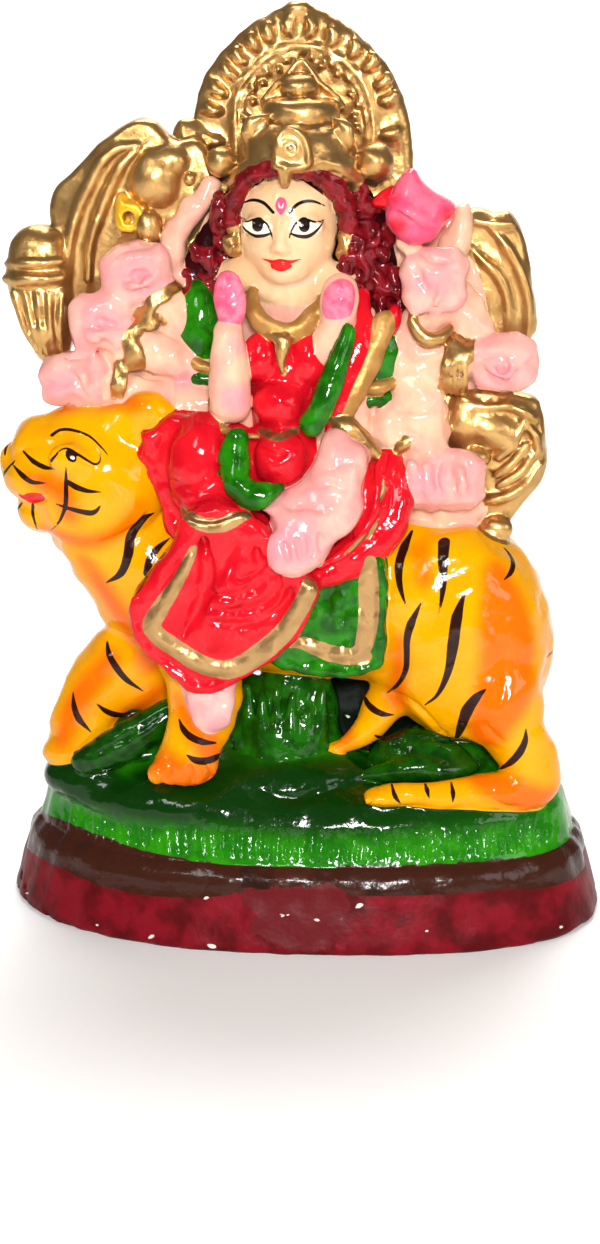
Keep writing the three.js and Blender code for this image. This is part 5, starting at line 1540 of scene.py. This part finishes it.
paintForms = [form for forms, *_ in groups for form in forms]
strokes = makeFacePaint() + makeTigerPaint() + makeBrushedPaint()
tints = makeTints()
report(f"{len(strokes)} brush strokes laid")

# Finer faces along strokes and where paints meet
# Paints whose border with another may stay coarse
kindred = {"hairDark": "hair", "deepLeaf": "leaf", "pit": "leaf", "hand": "skin"}
broad = ("umber", "peeled", "gilt")  # strokes with soft or ragged edges


def ownership(found):
    # how far each paint is ahead of the next one
    names = sorted(found)
    stack = np.stack([found[name] for name in names])
    first, second = np.sort(stack, axis=0)[:2]
    return {name: np.where(own <= first, second, first) - own for name, own in zip(names, stack)}



def refine(points, faces, rounds, farthest=0.4):
    # finer faces where they are wanted; no new point moves farther than this to reach the skin
    for turn in range(rounds):
        found = {}
        for name, values in paintDistances(points, paintForms).items():
            name = kindred.get(name, name)
            found[name] = np.minimum(found[name], values) if name in found else values
        order = np.sort(np.stack(list(found.values())), axis=0)
        drawn = {name: np.abs(values) for name, values in paintDistances(points, strokes).items()}
        ink = np.min([values for name, values in drawn.items() if name not in broad], axis=0)
        border = np.min([order[1] - order[0]] + [drawn[name] for name in broad], axis=0)

        def wanted(edges):
            length = np.linalg.norm(points[edges[:, 0]] - points[edges[:, 1]], axis=1)
            atInk = ink[edges].min(axis=1) < length / 2
            atBorder = border[edges].min(axis=1) < length / 2
            return ((atInk & (length > casting["inkEdge"] * casting["slack"]))
                    | (atBorder & (length > casting["paintEdge"] * casting["slack"])))

        points, faces, fresh = splitEdges(points, faces, wanted)
        moved = points[fresh]
        away = sample(plaster, moved)[:, None] * slopeOf(plaster, moved)
        points[fresh] = moved - np.clip(away, -farthest, farthest)
    return points, faces


points, faces = refine(points, faces, 3)
report(f"refined to {len(faces)} triangles")
limits = [np.array(corner) / millimetre for corner in (figureLow, figureHigh)]
points = np.clip(points, limits[0], limits[1])

mesh = meshFrom(points * millimetre, faces, "plasterCasting")
mesh.polygons.foreach_set("use_smooth", np.ones(len(faces), bool))
owned = ownership(paintDistances(points, paintForms))
over = paintDistances(points, strokes)


def keep(name, values):
    layer = mesh.attributes.new(name, "FLOAT", "POINT")
    layer.data.foreach_set("value", np.ascontiguousarray(values, np.float32))


for name, values in owned.items():
    keep("own_" + name, values)
for name, values in over.items():
    keep("over_" + name, -values)
for name, values in paintDistances(points, tints, clamp=9.0).items():
    keep("soft_" + name, -values)

figure = addObject("paintedFigure", mesh)
report("mesh built")

# Paints
paints = {  # two tones that wander into one another, the patches' size, metal, roughness
    "maroon": ((0.176, 0.004, 0.01), (0.078, 0.002, 0.003), 11, 0.0, 0.42),
    "umber": ((0.050, 0.012, 0.006), (0.022, 0.006, 0.003), 9, 0.0, 0.2),
    "grass": ((0.02, 0.221, 0.002), (0.008, 0.139, 0.002), 8, 0.0, 0.13),
    "leaf": ((0.004, 0.042, 0.001), (0.008, 0.102, 0.002), 5, 0.0, 0.1),
    "deepLeaf": ((0.002, 0.028, 0.001), (0.006, 0.066, 0.001), 5, 0.0, 0.1),
    # painted shadow: near-black for the pocket under the belly, where the gap lies in shade
    "pit": ((0.001, 0.005, 0.001), (0.001, 0.003, 0.001), 9, 0.0, 0.5),
    "tiger": ((0.722, 0.295, 0.0), (0.738, 0.328, 0.0), 20, 0.0, 0.1),
    "green": ((0.014, 0.170, 0.002), (0.005, 0.066, 0.001), 6, 0.0, 0.09),
    "red": ((0.64, 0.007, 0.014), (0.508, 0.003, 0.011), 9, 0.0, 0.1),
    "skin": ((0.722, 0.344, 0.254), (0.722, 0.443, 0.287), 14, 0.0, 0.12),
    "face": ((0.672, 0.402, 0.205), (0.697, 0.451, 0.254), 12, 0.0, 0.1),
    "hand": ((0.722, 0.279, 0.262), (0.722, 0.361, 0.295), 8, 0.0, 0.12),
    "palm": ((0.705, 0.074, 0.156), (0.722, 0.18, 0.262), 4, 0.0, 0.16),
    "lotus": ((0.722, 0.066, 0.148), (0.722, 0.131, 0.205), 8, 0.0, 0.12),
    "foot": ((0.722, 0.287, 0.287), (0.722, 0.394, 0.344), 8, 0.0, 0.12),
    "hair": ((0.21, 0.006, 0.010), (0.10, 0.003, 0.005), 5, 0.0, 0.12),
    # painted shade: the near-black that shows between curls and locks
    "hairDark": ((0.012, 0.001, 0.002), (0.030, 0.001, 0.003), 6, 0.0, 0.4),
    "gold": ((0.47, 0.256, 0.085), (0.57, 0.333, 0.118), 8, 0.88, 0.32),
    "ringGold": ((0.78, 0.40, 0.02), (0.80, 0.46, 0.04), 5, 0.5, 0.3),
    "dullGold": ((0.34, 0.16, 0.040), (0.44, 0.23, 0.070), 6, 0.4, 0.36),
}
overPaints = {  # colour, metal, roughness, how ragged its edge is in mm
    "umber": ((0.038, 0.01, 0.005), 0.0, 0.2, 1.6),
    "peeled": ((0.111, 0.007, 0.009), 0.0, 0.42, 5.0),
    "gilt": ((0.44, 0.26, 0.105), 0.88, 0.30, 0.5),
    "rose": ((0.672, 0.066, 0.164), 0.0, 0.2, 0.0),
    "white": ((0.689, 0.607, 0.476), 0.0, 0.12, 0.0),
    "line": ((0.01, 0.005, 0.003), 0.0, 0.12, 0.0),
    "lip": ((0.607, 0.008, 0.008), 0.0, 0.12, 0.0),
    "ink": ((0.021, 0.005, 0.002), 0.0, 0.12, 0.12),
    "bare": ((0.656, 0.607, 0.541), 0.0, 0.7, 1.4),
}


soft = {  # airbrushed colour, how far it fades, the paints it lies on
    "orange": ((0.722, 0.123, 0.001), 3.6, ["tiger"]),
    # painted shade: darkens the grass over the top of the mound
    "shade": ((0.002, 0.026, 0.001), 5.0, ["grass"]),
    "blush": ((0.722, 0.254, 0.271), 3.5, ["hand", "skin", "foot"]),
    "rosy": ((0.656, 0.008, 0.025), 2.2, ["lotus"]),
}


finish = {
    "border": 0.16,  # how far one paint fades into the next, in millimetres
    "strokeEdge": 0.08,
    "patches": (0.36, 0.64),  # share of the noise over which the two tones change
    "glossy": (0.12, 0.26),  # roughness and specular level of the shiniest paint, then of the dullest
    "dull": (0.40, 0.08),
    "ripple": {"size": 3.0, "strength": 0.4, "depth": 0.0006},  # the brushwork's fine ripple
}
studio = {
    "floor": (0.79, 0.78, 0.765),
    "floorRoughness": 0.9,
    "world": (1, 0.99, 0.97),
    "worldPower": 0.115,
    "lamps": {  # place, where it looks, size, power
        "softbox": ((-0.5, -1.0, 0.95), (0, 0, 0.15), 0.32, 4.2),
        "flash": ((0.1, -1.0, 0.5), (0, 0, 0.15), 0.20, 12.0),
        "fill": ((0.9, -0.7, 0.5), (0, 0, 0.15), 0.5, 2.8),
        "backFill": ((0.2, 1.4, 1.3), (0, 0, 0.15), 0.8, 8.5),
        "wash": ((0.0, 1.5, 2.4), (0, 2.4, 0.4), 2.0, 110.0),
    },
}


def makePaintMaterial():
    material = bpy.data.materials.new("paintedPlaster")
    material.use_nodes = True
    nodes, links = material.node_tree.nodes, material.node_tree.links
    shader = nodes["Principled BSDF"]
    place = nodes.new("ShaderNodeTexCoord")

    def attribute(name):
        node = nodes.new("ShaderNodeAttribute")
        node.attribute_name = name
        return node.outputs["Fac"]

    def mask(source, low, high):
        node = nodes.new("ShaderNodeMapRange")
        node.interpolation_type = "SMOOTHSTEP"
        node.inputs["From Min"].default_value = low
        node.inputs["From Max"].default_value = high
        links.new(source, node.inputs["Value"])
        return node.outputs["Result"]

    def noise(size, detail=2.0):
        node = nodes.new("ShaderNodeTexNoise")
        node.inputs["Scale"].default_value = 1 / (size * millimetre)
        node.inputs["Detail"].default_value = detail
        links.new(place.outputs["Object"], node.inputs["Vector"])
        return node.outputs["Fac"]

    def mix(kind, first, factor, under, over):
        node = nodes.new("ShaderNodeMix")
        node.data_type = kind
        links.new(factor, node.inputs["Factor"])
        for socket, value in ((node.inputs[first], under), (node.inputs[first + 1], over)):
            if isinstance(value, tuple):
                socket.default_value = (*value, 1)
            elif isinstance(value, float):
                socket.default_value = value
            else:
                links.new(value, socket)
        return node.outputs[2 if kind == "RGBA" else 0]

    def tinted(paint, colour):
        for name, (tint, reach, under) in soft.items():
            if paint in under:
                colour = mix("RGBA", 6, mask(attribute("soft_" + name), -reach, reach), colour, tint)
        return colour

    def lay(factor, under, tone, metalness, roughness):
        # one more paint over what lies there already
        colour, metal, rough = under
        return (mix("RGBA", 6, factor, colour, tone), mix("FLOAT", 2, factor, metal, metalness),
                mix("FLOAT", 2, factor, rough, roughness))

    patches = {}
    for tones in paints.values():
        size = tones[2]
        if size not in patches:
            patches[size] = mask(noise(size, 3.0), *finish["patches"])
    tone, other, size, metal, rough = paints["tiger"]
    coat = (tinted("tiger", mix("RGBA", 6, patches[size], tone, other)), metal, rough)
    for name, (tone, other, size, metalness, roughness) in paints.items():
        if name == "tiger" or "own_" + name not in mesh.attributes:
            continue
        here = mask(attribute("own_" + name), -finish["border"], 0.0)
        coat = lay(here, coat, tinted(name, mix("RGBA", 6, patches[size], tone, other)), metalness, roughness)
    for name, (tone, metalness, roughness, rag) in overPaints.items():
        if "over_" + name not in mesh.attributes:
            continue
        edge = attribute("over_" + name)
        if rag:
            stray = nodes.new("ShaderNodeMath")
            stray.operation = "MULTIPLY_ADD"
            stray.inputs[1].default_value = rag
            stray.inputs[2].default_value = -0.5 * rag
            links.new(noise(4.0 if rag > 1 else 2.0, 4.0), stray.inputs[0])
            shift = nodes.new("ShaderNodeMath")
            shift.operation = "ADD"
            links.new(stray.outputs[0], shift.inputs[0])
            links.new(edge, shift.inputs[1])
            edge = shift.outputs[0]
        coat = lay(mask(edge, -finish["strokeEdge"], finish["strokeEdge"]), coat, tone, metalness, roughness)
    for result, socket in zip(coat, ("Base Color", "Metallic", "Roughness")):
        links.new(result, shader.inputs[socket])
    gloss = nodes.new("ShaderNodeMapRange")  # dull paint mirrors the studio least
    for limit, (roughness, level) in (("Min", finish["glossy"]), ("Max", finish["dull"])):
        gloss.inputs["From " + limit].default_value = roughness
        gloss.inputs["To " + limit].default_value = level
    links.new(coat[2], gloss.inputs["Value"])
    shader.inputs["Specular IOR Level"].default_value = finish["glossy"][1]
    links.new(gloss.outputs["Result"], shader.inputs["Specular IOR Level"])
    ripple, bump = finish["ripple"], nodes.new("ShaderNodeBump")
    bump.inputs["Strength"].default_value = ripple["strength"]
    bump.inputs["Distance"].default_value = ripple["depth"]
    links.new(noise(ripple["size"], 2.5), bump.inputs["Height"])
    links.new(bump.outputs["Normal"], shader.inputs["Normal"])
    return material


figure.data.materials.append(makePaintMaterial())
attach(figure, "root")
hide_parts("durga_figure")


# Studio: a pale floor that sweeps up behind the figure, and five lamps
def makeStudio():
    mesh = bpy.data.meshes.new("studioFloor")
    wide, near, far, bend, top = 6.0, -4.0, 2.2, 1.2, 5.0
    sweep = [(far + bend * math.sin(a), bend - bend * math.cos(a)) for a in np.linspace(0, 1.5, 16)]
    sweep = [(near, 0.0), *sweep, (far + bend + 0.05, top)]
    points = [(side * wide, y, z) for y, z in sweep for side in (-1, 1)]
    count = len(sweep) - 1
    mesh.from_pydata(points, [], [(2 * i, 2 * i + 1, 2 * i + 3, 2 * i + 2) for i in range(count)])
    mesh.polygons.foreach_set("use_smooth", [True] * count)
    floor = addObject("studioFloor", mesh)
    material = bpy.data.materials.new("paleFloor")
    material.use_nodes = True
    shader = material.node_tree.nodes["Principled BSDF"]
    shader.inputs["Base Color"].default_value = (*studio["floor"], 1)
    shader.inputs["Roughness"].default_value = studio["floorRoughness"]
    mesh.materials.append(material)
    world = bpy.data.worlds.new("softLight")
    world.use_nodes = True
    world.node_tree.nodes["Background"].inputs["Color"].default_value = (*studio["world"], 1)
    world.node_tree.nodes["Background"].inputs["Strength"].default_value = studio["worldPower"]
    bpy.context.scene.world = world
    for name, (spot, target, size, power) in studio["lamps"].items():
        data = bpy.data.lights.new(name, "AREA")
        data.shape, data.size, data.energy = "DISK", size, power
        light = addObject(name, data)
        light.location = spot
        aim = Vector(target) - Vector(spot)
        light.rotation_euler = aim.to_track_quat("-Z", "Y").to_euler()
    bpy.context.scene.view_settings.view_transform = "Standard"


makeStudio()
report("studio lit")
